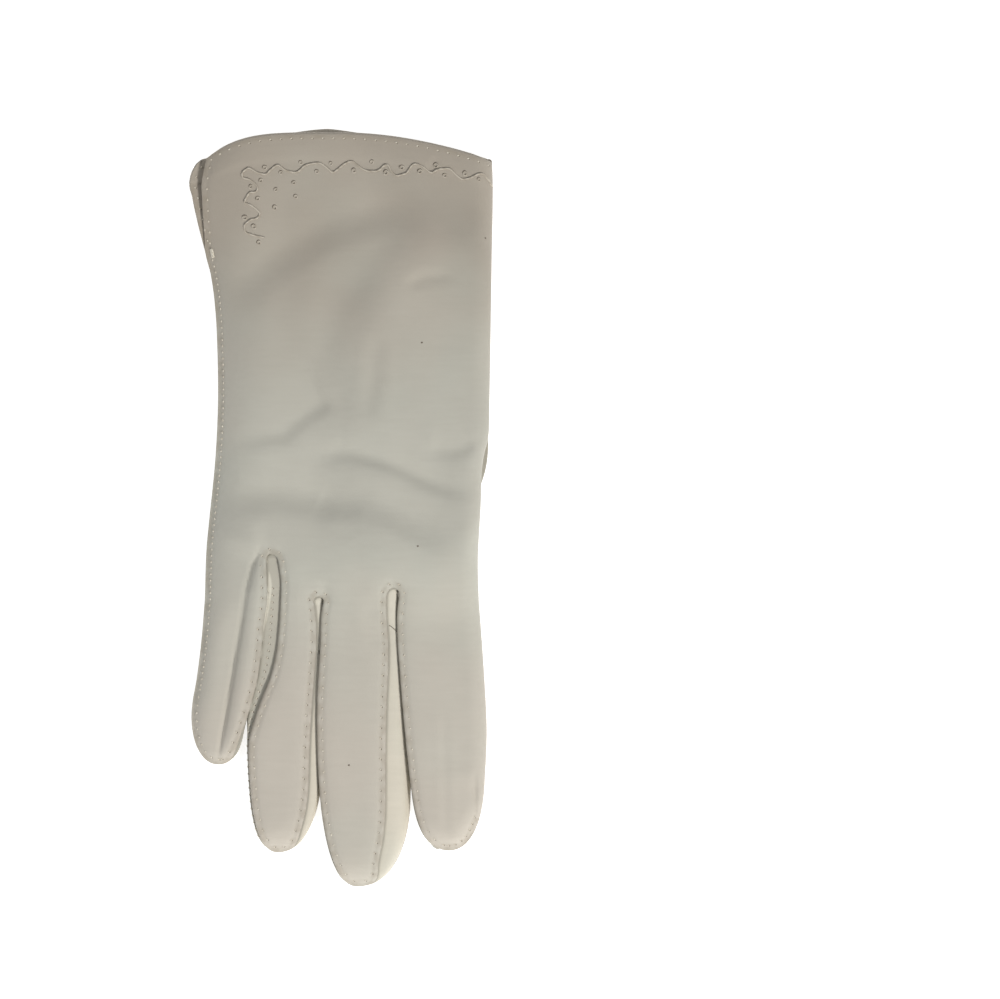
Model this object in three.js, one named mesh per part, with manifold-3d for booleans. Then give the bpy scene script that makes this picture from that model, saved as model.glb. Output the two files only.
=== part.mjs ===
// A lady's dress glove for the right hand, lying back up with its thumb folded flat under the palm.
// Millimetres, +Z up. The open cuff is at +Y, the fingers point to -Y and the index side is at +X.
// The glove is one layer of cloth thick everywhere. Each hollow piece is described by four layers
// of the same grid: the back's outer and inner face, and the palm's inner and outer face.
import * as THREE from "three";
import { mergeVertices } from "three/addons/utils/BufferGeometryUtils.js";
import Module from "manifold-3d";

const wasm = await Module();
wasm.setup();

// Cloth and sewing
const WALL = 1.0; // thickness of one layer of cloth
const CLEARANCE = 0.3; // gap between two pieces that are sewn together
const SEAM_FIN = 1.7; // cloth that stands outside the stitching of an outward seam
const HEM_DEPTH = 8.5; // the cuff's edge is turned in this far
const HEM_FOLD = 0.8; // thickness that the turned-in hem adds inside
const HEM_STEP = 0.5; // length over which the hem's inner edge steps back to one layer

// Hand
const HAND_LENGTH = 151.8; // from the cuff's edge to the finger line
const HAND_HOLLOW = 8.0; // height of the space for the hand
const VENT_LENGTH = 38.7; // the side seam is left open this far at the cuff
const VENT_RUN = 9.0; // width over which the back comes down to the side seam
const FOLD_RUN = 6.0; // width of the rounding along the folded index side
const CUFF_EASE = 45.0; // the cuff's curved edge fades out this far down

// Fingers, from the little finger to the index. root is the width at the finger line, in knuckle
// widths, long the length in lengths of the middle finger and tip the length of the rounded tip in
// the finger's own. tipAcross is how far the tip's point lies from its middle, in root widths.
const KNUCKLE_WIDTH = 89.3; // width of the hand at the finger line
const FINGER_LENGTH = 93.3; // length of the middle finger
const FINGER_SHARES = [
  { name: "little", root: 0.2363, long: 0.5745, tip: 0.364, tipAcross: -0.285 },
  { name: "ring", root: 0.1803, long: 0.881, tip: 0.309, tipAcross: -0.338 },
  { name: "middle", root: 0.2743, long: 1, tip: 0.3033, tipAcross: 0.01 },
  { name: "index", root: 0.3091, long: 0.8746, tip: 0.3027, tipAcross: 0.147 },
];
const FINGER_HOLLOW = 5.6; // height of the space in a finger
const FINGER_CROWN = 0.8; // a finger's back is this much lower at its seams than in its middle
const CROWN_RUN = 5.0;
const TIP_RUN = 9.0; // length over which a fingertip comes down to its seam
const TIP_ROUNDNESS = 2.2; // 2 is an ellipse, more is squarer
const KNUCKLE_EASE = 14.0; // half the length over which the hand's height turns into the fingers'
const TIP_ANGLES = [20, 40, 52, 64, 77, 90]; // rows round a fingertip, as degrees of its arch
const TIP_SEWN = { open: 40, closed: 64 }; // over these degrees the finger's sides turn into a seam
const TIP_MEET = { from: 5, to: 64 }; // and the outlines of back and palm come together
const TIP_FOLD = { from: 10, to: 55 }; // and the index finger's fold turns into a seam

// Thumb
const THUMB_WIDTH = 28.0;
const THUMB_HOLLOW = 4.5;
const THUMB_TIP_LENGTH = 15.0;
const THUMB_BASE_LENGTH = 13.0;
const THUMB_RUN = 5.0; // width over which its top comes down to its edges
const THUMB_ANGLES = [90, 65, 40, 18]; // rows round its two ends, as degrees of their arches
const THUMB_ROWS = 6; // steps between the ends
const THUMB_HOLE_LENGTH = 50.0; // the hole in the palm that the thumb is set in
const THUMB_HOLE_WIDTH = 15.0;
const THUMB_HOLE_DOWN = 36.0; // the hole's middle, from the thumb's wrist end
const PALM_DRAPE = 11.0; // the palm comes down to the table within this width beside the thumb
const BACK_DRAPE = 27.0; // and the back within this one
const DRAPE_MARGIN = 2.5; // the palm stays clear of the thumb this far past its edge
const HOLLOW_OVER_THUMB = 4.8; // space that is left for the palm above the thumb

// Embroidery
const VINE_WIDTH = 0.9;
const VINE_HEIGHT = 0.6;
const VINE_STEP = 1.1; // distance between the cord's cross-sections

// How finely the cloth's grid is laid out
const ROUNDING = 1e-6; // lengths that differ by less are the same
const THUMB_LINE_STEPS = 48;
const TURN_WIDTH = 2.6 * SEAM_FIN; // the second column stands this far inside an edge
const NARROW_COLUMNS = { first: 0.16, second: 0.33 }; // and no further than these shares of a strip
const VENT_ROWS = 4;
const HAND_ROWS = 11;
const FINGER_ROWS = [4, 5, 5, 5];
const CROTCH_ROWS = [0.3, 1]; // rows round a crotch, in its radii
const ROW_SPACING = 0.6; // rows closer than this to a crotch's own are left out
const STRIP_SLANT = 2.2; // a slanted strip is made this much wider at most, to keep its thickness

const FINGERS = FINGER_SHARES.map(({ name, root, long, tip, tipAcross }) => {
  const length = long * FINGER_LENGTH;
  return { name, rootWidth: root * KNUCKLE_WIDTH, length, tipLength: tip * length, tipAcross };
});
const FINGER_PITCH = KNUCKLE_WIDTH / FINGERS.length;

// The cuff's edge: how far above or below the cuff's line it runs, in hand lengths. peak is where
// it is highest, in knuckle widths from the middle. It drops to both sides by these powers.
const CUFF_EDGE = {
  back: { peak: -0.025, rise: 0, ventDrop: 0.0494, ventPower: 4, foldDrop: 0.06, foldPower: 2 },
  palm: { peak: -0.05, rise: 0.0053, ventDrop: 0.0613, ventPower: 1.6, foldDrop: 0.0652, foldPower: 1.2 },
};

// Side outlines of the hand. along runs from the cuff to the finger line, in hand lengths, and the
// edges are in knuckle widths from the middle. closed is how far the back has come down to the palm.
const VENT_SIDE = [
  { along: 0, back: -0.491, palm: -0.516, closed: 0.5 },
  { along: 0.056, back: -0.509, palm: -0.549, closed: 0.52 },
  { along: 0.09, back: -0.508, palm: -0.545, closed: 0.55 },
  { along: 0.143, back: -0.504, palm: -0.529, closed: 0.65 },
  { along: 0.197, back: -0.498, palm: -0.513, closed: 0.8 },
  { along: 0.255, back: -0.491, palm: -0.491, closed: 1 },
  { along: 0.304, back: -0.469, palm: -0.469, closed: 1 },
  { along: 0.358, back: -0.455, palm: -0.455, closed: 1 },
  { along: 0.433, back: -0.445, palm: -0.445, closed: 1 },
  { along: 0.572, back: -0.44, palm: -0.44, closed: 1 },
  { along: 0.7, back: -0.453, palm: -0.453, closed: 1 },
  { along: 0.829, back: -0.48, palm: -0.48, closed: 1 },
  { along: 0.893, back: -0.491, palm: -0.491, closed: 1 },
  { along: 1, back: -0.498, palm: -0.498, closed: 1 },
];
const FOLD_SIDE = [
  { along: 0, edge: 0.546 },
  { along: 0.056, edge: 0.549 },
  { along: 0.143, edge: 0.548 },
  { along: 0.315, edge: 0.544 },
  { along: 0.572, edge: 0.537 },
  { along: 0.651, edge: 0.533 },
  { along: 0.69, edge: 0.517 },
  { along: 0.722, edge: 0.509 },
  { along: 0.786, edge: 0.506 },
  { along: 0.914, edge: 0.495 },
  { along: 1, edge: 0.498 },
];

// The outer edges of the outer fingers. along runs from the finger line to the tip.
const LITTLE_SIDE = [
  { along: 0, edge: -0.498 },
  { along: 0.24, edge: -0.509 },
  { along: 0.48, edge: -0.527 },
  { along: 0.61, edge: -0.54 },
  { along: 0.73, edge: -0.544 },
  { along: 1, edge: -0.544 },
];
const INDEX_SIDE = [
  { along: 0, edge: 0.498 },
  { along: 0.16, edge: 0.509 },
  { along: 0.34, edge: 0.52 },
  { along: 0.5, edge: 0.527 },
  { along: 0.62, edge: 0.525 },
  { along: 0.72, edge: 0.52 },
  { along: 1, edge: 0.52 },
];

// The gaps between the fingers. crotchRise is how far the gap reaches into the hand and along runs
// from the finger line, both in lengths of the middle finger. crotchRadius is in finger pitches.
// left and right are the gap's sides, in finger pitches from the gap's root. The palm's sides lie
// further to the index side, so the strip between two fingers shows from above.
const SLIT_SHARES = [
  {
    name: "fourchette_little_ring",
    crotchRise: 0.16,
    crotchRadius: 0.1075,
    sides: [
      { along: -0.14, backLeft: -0.073, backRight: 0.116, palmLeft: -0.058, palmRight: 0.131 },
      { along: -0.07, backLeft: -0.116, backRight: 0.167, palmLeft: -0.058, palmRight: 0.189 },
      { along: 0, backLeft: -0.138, backRight: 0.167, palmLeft: -0.029, palmRight: 0.196 },
      { along: 0.09, backLeft: -0.109, backRight: 0.145, palmLeft: 0.012, palmRight: 0.175 },
      { along: 0.175, backLeft: -0.124, backRight: 0.109, palmLeft: 0, palmRight: 0.145 },
      { along: 0.26, backLeft: -0.16, backRight: 0.029, palmLeft: -0.058, palmRight: 0.073 },
      { along: 0.33, backLeft: -0.233, backRight: -0.087, palmLeft: -0.16, palmRight: -0.029 },
      { along: 0.42, backLeft: -0.33, backRight: -0.22, palmLeft: -0.262, palmRight: -0.16 },
      { along: 0.5, backLeft: -0.36, backRight: -0.3, palmLeft: -0.3, palmRight: -0.24 },
      { along: 0.68, backLeft: -0.36, backRight: -0.276, palmLeft: -0.3, palmRight: -0.24 },
      { along: 0.9, backLeft: -0.36, backRight: -0.276, palmLeft: -0.3, palmRight: -0.24 },
    ],
  },
  {
    name: "fourchette_ring_middle",
    crotchRise: 0.0118,
    crotchRadius: 0.0806,
    sides: [
      { along: 0, backLeft: -0.073, backRight: 0.073, palmLeft: -0.058, palmRight: 0.087 },
      { along: 0.05, backLeft: -0.029, backRight: 0.036, palmLeft: -0.015, palmRight: 0.06 },
      { along: 0.14, backLeft: -0.02, backRight: 0.028, palmLeft: 0, palmRight: 0.058 },
      { along: 0.23, backLeft: -0.051, backRight: 0.015, palmLeft: -0.022, palmRight: 0.044 },
      { along: 0.35, backLeft: -0.087, backRight: -0.015, palmLeft: -0.029, palmRight: 0.036 },
      { along: 0.5, backLeft: -0.124, backRight: -0.022, palmLeft: -0.029, palmRight: 0.036 },
      { along: 0.65, backLeft: -0.153, backRight: -0.007, palmLeft: -0.012, palmRight: 0.055 },
      { along: 0.8, backLeft: -0.153, backRight: 0.065, palmLeft: 0, palmRight: 0.1 },
      { along: 0.94, backLeft: -0.153, backRight: 0.109, palmLeft: 0, palmRight: 0.13 },
    ],
  },
  {
    name: "fourchette_middle_index",
    crotchRise: 0.0418,
    crotchRadius: 0.1165,
    sides: [
      { along: -0.04, backLeft: -0.102, backRight: 0.087, palmLeft: -0.087, palmRight: 0.102 },
      { along: 0.05, backLeft: -0.109, backRight: 0.051, palmLeft: -0.044, palmRight: 0.087 },
      { along: 0.14, backLeft: -0.08, backRight: 0.051, palmLeft: 0.015, palmRight: 0.087 },
      { along: 0.21, backLeft: -0.087, backRight: 0.065, palmLeft: 0.044, palmRight: 0.116 },
      { along: 0.35, backLeft: -0.102, backRight: 0.116, palmLeft: 0.102, palmRight: 0.17 },
      { along: 0.52, backLeft: -0.116, backRight: 0.182, palmLeft: 0.182, palmRight: 0.25 },
      { along: 0.68, backLeft: -0.109, backRight: 0.247, palmLeft: 0.225, palmRight: 0.29 },
      { along: 0.87, backLeft: -0.131, backRight: 0.247, palmLeft: 0.225, palmRight: 0.29 },
    ],
  },
];

const SLITS = SLIT_SHARES.map((slit) => ({
  ...slit,
  crotchRise: slit.crotchRise * FINGER_LENGTH,
  crotchRadius: slit.crotchRadius * FINGER_PITCH,
}));

// The thumb's middle line under the palm, from its wrist end to its tip. across is in knuckle
// widths from the middle, along in hand lengths from the cuff, width in thumb widths.
const THUMB_LINE = [
  { across: 0.405, along: 0.315, width: 0.86 },
  { across: 0.392, along: 0.47, width: 1 },
  { across: 0.37, along: 0.62, width: 1 },
  { across: 0.325, along: 0.755, width: 0.9 },
  { across: 0.29, along: 0.84, width: 0.82 },
];

// Wide soft dents in the back, each a valley along a line. across and width are in knuckle widths,
// along in hand lengths from the cuff and depth in hand hollows.
const DENTS = [
  { across: -0.367, along: 0.377, toAcross: -0.236, toAlong: 0.3, width: 0.05, depth: 0.06 },
  { across: -0.236, along: 0.3, toAcross: 0.058, toAlong: 0.19, width: 0.05, depth: 0.08 },
  { across: 0.218, along: 0.19, toAcross: -0.007, toAlong: 0.358, width: 0.045, depth: 0.06 },
  { across: -0.367, along: 0.672, toAcross: -0.069, toAlong: 0.589, width: 0.05, depth: 0.05 },
  { across: -0.044, along: 0.683, toAcross: 0.207, toAlong: 0.726, width: 0.045, depth: 0.09 },
  { across: 0.207, along: 0.726, toAcross: 0.411, toAlong: 0.758, width: 0.045, depth: 0.15 },
  { across: -0.458, along: 0.803, toAcross: 0.058, toAlong: 0.786, width: 0.05, depth: 0.06 },
  { across: 0.058, along: 0.786, toAcross: 0.487, toAlong: 0.895, width: 0.05, depth: 0.07 },
  { across: -0.291, along: 0.889, toAcross: -0.353, toAlong: 0.989, width: 0.035, depth: 0.06 },
];

// The vine's turning points, from the vent's end to the fold. across is in knuckle widths from the
// middle and along in hand lengths from the cuff.
const VINE_TURNS = [
  { across: -0.28, along: 0.225 },
  { across: -0.335, along: 0.22 },
  { across: -0.352, along: 0.196 },
  { across: -0.3, along: 0.174 },
  { across: -0.347, along: 0.145 },
  { across: -0.308, along: 0.122 },
  { across: -0.362, along: 0.096 },
  { across: -0.335, along: 0.076 },
  { across: -0.28, along: 0.089 },
  { across: -0.233, along: 0.07 },
  { across: -0.168, along: 0.085 },
  { across: -0.087, along: 0.066 },
  { across: -0.033, along: 0.084 },
  { across: 0.036, along: 0.061 },
  { across: 0.12, along: 0.082 },
  { across: 0.165, along: 0.07 },
  { across: 0.2, along: 0.092 },
  { across: 0.273, along: 0.067 },
  { across: 0.327, along: 0.086 },
  { across: 0.38, along: 0.075 },
  { across: 0.44, along: 0.1 },
  { across: 0.5, along: 0.089 },
];

// Even steps from one value to another, both included
function steps(from, to, count) {
  return Array.from({ length: count + 1 }, (_, i) => from + ((to - from) * i) / count);
}

// 0 below the first value, 1 above the second and smooth between
function ease(from, to, value) {
  return THREE.MathUtils.smoothstep(value, from, to);
}

// Height of a quarter circle over its own width, from 0 at the edge to 1
function quarterRound(share) {
  const inside = THREE.MathUtils.clamp(share, 0, 1);
  return Math.sqrt(1 - (1 - inside) ** 2);
}

// A column of a table at any place along it, on a smooth curve through its rows
function read(table, column, along) {
  const last = table.length - 1;
  if (along <= table[0].along) return table[0][column];
  if (along >= table[last].along) return table[last][column];
  const i = table.findIndex((row) => row.along > along) - 1;
  const slope = (k) => {
    const before = table[Math.max(k - 1, 0)];
    const after = table[Math.min(k + 1, last)];
    return (after[column] - before[column]) / (after.along - before.along);
  };
  const span = table[i + 1].along - table[i].along;
  const t = (along - table[i].along) / span;
  const start = table[i][column] * (2 * t ** 3 - 3 * t ** 2 + 1);
  const end = table[i + 1][column] * (3 * t ** 2 - 2 * t ** 3);
  const bends = slope(i) * (t ** 3 - 2 * t ** 2 + t) + slope(i + 1) * (t ** 3 - t ** 2);
  return start + end + bends * span;
}

// A place on the hand, from knuckle widths and hand lengths to millimetres. The finger line is y = 0.
function place(across, along) {
  return new THREE.Vector2(across * KNUCKLE_WIDTH, (1 - along) * HAND_LENGTH);
}

// The two sides of the hand at a height y, on the back or the palm
function handSides(y, sheet) {
  const along = 1 - y / HAND_LENGTH;
  const left = read(VENT_SIDE, sheet, along) * KNUCKLE_WIDTH;
  const right = read(FOLD_SIDE, "edge", along) * KNUCKLE_WIDTH;
  return { left, right };
}

// The line between two fingers, carried on through the hand as a share of its width
function boundaryX(index, y, sheet) {
  const { left, right } = handSides(Math.max(y, 0), sheet);
  const widths = FINGERS.slice(0, index).reduce((sum, finger) => sum + finger.rootWidth, 0);
  return left + ((right - left) * widths) / KNUCKLE_WIDTH;
}

// One side of the gap between two fingers, rounded at the crotch
function slitSideX(index, y, sheet, side) {
  const slit = SLITS[index];
  const below = slit.crotchRise - y;
  const along = -y / FINGER_LENGTH;
  const rounding = quarterRound(below / slit.crotchRadius);
  return boundaryX(index + 1, y, sheet) + read(slit.sides, sheet + side, along) * FINGER_PITCH * rounding;
}

// The two edges of one finger's strip, from the cuff to the tip, before the tip is rounded
function stripEdges(index, y, sheet) {
  const finger = FINGERS[index];
  const along = -y / finger.length;
  const sides = handSides(Math.max(y, 0), sheet);
  let left = sides.left;
  if (index === 0 && y < 0) left = read(LITTLE_SIDE, "edge", along) * KNUCKLE_WIDTH;
  if (index > 0) {
    left = y < SLITS[index - 1].crotchRise
      ? slitSideX(index - 1, y, sheet, "Right") : boundaryX(index, y, sheet);
  }
  let right = sides.right;
  if (index === 3 && y < 0) right = read(INDEX_SIDE, "edge", along) * KNUCKLE_WIDTH;
  if (index < 3) {
    right = y < SLITS[index].crotchRise
      ? slitSideX(index, y, sheet, "Left") : boundaryX(index + 1, y, sheet);
  }
  return { left, right };
}

// A strip's edges. Round the tip back and palm are sewn together, on the outermost of the two.
function sewnEdges(row, y, sheet) {
  const own = stripEdges(row.index, y, sheet);
  const other = stripEdges(row.index, y, sheet === "back" ? "palm" : "back");
  const mix = THREE.MathUtils.lerp;
  return {
    left: mix(own.left, Math.min(own.left, other.left), row.tipSewn),
    right: mix(own.right, Math.max(own.right, other.right), row.tipSewn),
  };
}

// The thumb's middle line as points with its half width, from the wrist end to the tip
const thumbSamples = (() => {
  const line = new THREE.CatmullRomCurve3(
    THUMB_LINE.map((row) => {
      const point = place(row.across, row.along);
      return new THREE.Vector3(point.x, point.y, row.width);
    }),
  );
  const points = steps(0, 1, THUMB_LINE_STEPS).map((t) => line.getPoint(t));
  let length = 0;
  return points.map((point, i) => {
    const before = points[Math.max(i - 1, 0)];
    const after = points[Math.min(i + 1, THUMB_LINE_STEPS)];
    length += Math.hypot(point.x - before.x, point.y - before.y);
    const run = new THREE.Vector2(after.x - before.x, after.y - before.y).normalize();
    return { x: point.x, y: point.y, run, length, half: (point.z * THUMB_WIDTH) / 2 };
  });
})();
const THUMB_LENGTH = thumbSamples.at(-1).length;

// The thumb's middle line at a length from its wrist end
function thumbAt(length) {
  const i = Math.max(1, thumbSamples.findIndex((sample) => sample.length >= length - ROUNDING));
  const [a, b] = [thumbSamples[i - 1], thumbSamples[i]];
  const t = (length - a.length) / (b.length - a.length);
  const mix = THREE.MathUtils.lerp;
  const run = a.run.clone().lerp(b.run, t).normalize();
  return { x: mix(a.x, b.x, t), y: mix(a.y, b.y, t), run, half: mix(a.half, b.half, t) };
}

// How far inside (below 0) or outside the thumb's outline a place is
function outsideThumb(x, y) {
  let nearest = Infinity;
  for (const sample of thumbSamples) {
    const toTip = THUMB_LENGTH - sample.length;
    const tip = quarterRound(toTip / THUMB_TIP_LENGTH);
    const base = quarterRound(sample.length / THUMB_BASE_LENGTH);
    const distance = Math.hypot(x - sample.x, y - sample.y) - sample.half * Math.min(tip, base);
    nearest = Math.min(nearest, distance);
  }
  return nearest;
}

const THUMB_THICKNESS = THUMB_HOLLOW + 2 * WALL;

// The height of the space inside the glove at a place, without the thumb under it
function hollowAt(x, y) {
  const share = ease(-KNUCKLE_EASE, KNUCKLE_EASE, y);
  let height = THREE.MathUtils.lerp(FINGER_HOLLOW, HAND_HOLLOW, share);
  for (const dent of DENTS) {
    const from = place(dent.across, dent.along);
    const to = place(dent.toAcross, dent.toAlong);
    const line = new THREE.Line3(new THREE.Vector3(from.x, from.y, 0), new THREE.Vector3(to.x, to.y, 0));
    const here = new THREE.Vector3(x, y, 0);
    const away = line.closestPointToPoint(here, true, new THREE.Vector3()).distanceTo(here);
    const width = dent.width * KNUCKLE_WIDTH;
    height -= dent.depth * HAND_HOLLOW * Math.exp(-((away / width) ** 2));
  }
  return height;
}

// The palm's underside and the back's top at a place, without the rounding at the edges
function palmUnder(x, y) {
  const outside = outsideThumb(x, y) - DRAPE_MARGIN;
  return (THUMB_THICKNESS + CLEARANCE) * (1 - ease(0, PALM_DRAPE, outside));
}

function backTop(x, y) {
  const outside = outsideThumb(x, y) - DRAPE_MARGIN;
  const hollow = hollowAt(x, y);
  const lift = THUMB_THICKNESS + CLEARANCE + HOLLOW_OVER_THUMB - hollow;
  return 2 * WALL + hollow + Math.max(lift, 0) * (1 - ease(0, BACK_DRAPE, outside));
}

// Places across a strip: close to both edges, where the cloth turns, and one in the middle
function columnsAcross(left, right, near, far) {
  const width = right - left;
  const first = Math.min(near, NARROW_COLUMNS.first * width);
  const second = Math.min(far, NARROW_COLUMNS.second * width);
  return [0, first, second, width / 2, width - second, width - first, width].map((d) => left + d);
}

// One row of a finger's strip: where it lies, how far its sides are closed, and its tip's rounding
function stripRow(index, y, tipAngle) {
  const finger = FINGERS[index];
  const inTip = tipAngle === null ? 0 : tipAngle;
  const tipClosed = ease(TIP_SEWN.open, TIP_SEWN.closed, inTip);
  const tipSewn = ease(TIP_MEET.from, TIP_MEET.to, inTip);
  const handClosed = read(VENT_SIDE, "closed", 1 - y / HAND_LENGTH);
  const left = index === 0 ? Math.max(handClosed, tipClosed) : tipClosed;
  const right = index === 3 ? 1 : tipClosed;
  const folded = index === 3 ? 1 - ease(TIP_FOLD.from, TIP_FOLD.to, inTip) : 0;
  const sine = Math.sin(THREE.MathUtils.degToRad(inTip));
  const toTip = tipAngle === null ? Infinity : finger.tipLength * (1 - sine);
  const down = HAND_LENGTH - y;
  const hem = 1 - ease(HEM_DEPTH, HEM_DEPTH + HEM_STEP, down);
  return { index, y, inTip, tipSewn, left, right, folded, toTip, hem };
}

// How open the gap beside a strip is: it starts as a soft valley above the crotch
function openness(index, y, side) {
  const slit = SLITS[side === "left" ? index - 1 : index];
  return slit ? 1 - ease(slit.crotchRise, slit.crotchRise + KNUCKLE_EASE, y) : 0;
}

// Sets out one row of one layer of a strip as points
function layerRow(row, layer) {
  const { index, inTip } = row;
  const finger = FINGERS[index];
  const sheet = layer.startsWith("back") ? "back" : "palm";
  const inner = layer.endsWith("Inner");
  const seamInset = SEAM_FIN + WALL;
  const rightInset = THREE.MathUtils.lerp(seamInset, WALL, row.folded);
  const insetLeft = inner ? seamInset * row.left : 0;
  const insetRight = inner ? rightInset * row.right : 0;

  // The tip narrows on a rounded arch, and the inner arch is shorter by its seam.
  const tipInset = inner ? seamInset : 0;
  const sine = Math.sin(THREE.MathUtils.degToRad(inTip));
  const y = inTip > 0 ? -finger.length + finger.tipLength - (finger.tipLength - tipInset) * sine : row.y;
  const arch = (1 - sine ** TIP_ROUNDNESS) ** (1 / TIP_ROUNDNESS);
  const edges = sewnEdges(row, y, sheet);
  const rootLeft = boundaryX(index, 0, sheet);
  const rootRight = boundaryX(index + 1, 0, sheet);
  const tipX = (rootLeft + rootRight) / 2 + finger.tipAcross * finger.rootWidth;
  const left = tipX + (edges.left + insetLeft - tipX) * arch;
  const right = tipX + (edges.right - insetRight - tipX) * arch;

  const near = inner && row.left > 0 ? WALL : SEAM_FIN;
  const xs = columnsAcross(left, right, near, TURN_WIDTH);
  return xs.map((x) => layerPoint(row, layer, x, y, x - left, right - x));
}

// One point of a layer, from its distances to the strip's two edges
function layerPoint(row, layer, x, y, fromLeft, fromRight) {
  const inner = layer.endsWith("Inner");
  const palm = palmUnder(x, y);
  const back = backTop(x, y);
  const wall = inner ? WALL + HEM_FOLD * row.hem : 0;
  const inHand = row.index === 0 ? ease(-KNUCKLE_EASE, KNUCKLE_EASE, row.y) : 0;
  const sideRun = THREE.MathUtils.lerp(TIP_RUN / 2, VENT_RUN, inHand);
  const less = inner ? WALL : 0;
  const fin = inner ? 0 : SEAM_FIN;

  // Each closed side brings the back down to the seam or round the fold.
  const finRight = fin * (1 - row.folded);
  const runRight = THREE.MathUtils.lerp(TIP_RUN / 2, FOLD_RUN, row.folded) - less;
  const riseLeft = 1 - row.left * (1 - quarterRound((fromLeft - fin * row.left) / (sideRun - less)));
  const riseRight = 1 - row.right * (1 - quarterRound((fromRight - finRight * row.right) / runRight));
  const tipGap = row.toTip - (inner ? 0 : SEAM_FIN);
  const tipShare = inner ? 1 - (SEAM_FIN + WALL) / FINGERS[row.index].tipLength : 1;
  const riseTip = row.toTip === Infinity ? 1 : quarterRound((tipGap * tipShare) / (TIP_RUN - less));
  const rise = riseLeft * riseRight * riseTip;

  // Beside an open gap the back is a little lower.
  const openLeft = openness(row.index, y, "left") * (1 - row.left);
  const openRight = openness(row.index, y, "right") * (1 - row.right);
  const sagLeft = openLeft * (1 - quarterRound(fromLeft / CROWN_RUN));
  const sagRight = openRight * (1 - quarterRound(fromRight / CROWN_RUN));
  const top = back - FINGER_CROWN * Math.max(sagLeft, sagRight) - wall;

  // A fold meets at mid height, a seam at the palm.
  const middle = (palm + back) / 2;
  const seam = palm + (inner ? wall : 2 * WALL);
  const nearFold = row.folded * (fromRight < fromLeft ? 1 : 0);
  const low = THREE.MathUtils.lerp(seam, middle, nearFold);
  if (layer.startsWith("back")) return new THREE.Vector3(x, y, THREE.MathUtils.lerp(low, top, rise));
  const foldRise = quarterRound(fromRight / (FOLD_RUN / 2));
  const bottom = palm + wall;
  const z = THREE.MathUtils.lerp(THREE.MathUtils.lerp(bottom, middle, nearFold), bottom, foldRise);
  return new THREE.Vector3(x, y, z);
}

// Moves the rows near the cuff onto its curved edge
function bendToCuff(point, sheet, side) {
  const edge = CUFF_EDGE[sheet];
  const { left, right } = handSides(HAND_LENGTH, sheet);
  const peak = edge.peak * KNUCKLE_WIDTH;
  const toVent = THREE.MathUtils.clamp((peak - point.x) / (peak - left), 0, 1);
  const toFold = THREE.MathUtils.clamp((point.x - peak) / (right - peak), 0, 1);
  const drop = edge.ventDrop * toVent ** edge.ventPower + edge.foldDrop * toFold ** edge.foldPower;
  const down = HAND_LENGTH - point.y;
  point.y += (edge.rise - drop) * HAND_LENGTH * (1 - ease(HEM_DEPTH, CUFF_EASE, down));
}

// The rows that all the strips share, from the cuff to the last crotch
function handRows() {
  const vent = HAND_LENGTH - VENT_LENGTH;
  const crotches = SLITS.map((slit) => slit.crotchRise);
  const arcs = SLITS.flatMap((slit) => CROTCH_ROWS.map((s) => slit.crotchRise - s * slit.crotchRadius));
  const fixed = [...crotches, ...arcs];
  const free = [
    ...steps(HAND_LENGTH - HEM_DEPTH - HEM_STEP, vent, VENT_ROWS),
    ...steps(vent, Math.max(...crotches), HAND_ROWS),
    (Math.max(...crotches) - SLITS[0].crotchRadius + SLITS[2].crotchRise) / 2,
  ].filter((y) => fixed.every((other) => Math.abs(y - other) > ROW_SPACING));
  const edge = [HAND_LENGTH, HAND_LENGTH - HEM_DEPTH];
  return [...new Set([...edge, ...free, ...fixed])].sort((a, b) => b - a);
}

// All rows of one finger's strip
function stripRows(index) {
  const finger = FINGERS[index];
  const shared = handRows();
  const tipStart = -finger.length + finger.tipLength;
  const straight = steps(shared.at(-1), tipStart, FINGER_ROWS[index]).slice(1);
  const rows = [...shared, ...straight].map((y) => stripRow(index, y, null));
  return [...rows, ...TIP_ANGLES.map((angle) => stripRow(index, tipStart, angle))];
}

const LAYERS = ["backOuter", "backInner", "palmInner", "palmOuter"];

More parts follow.
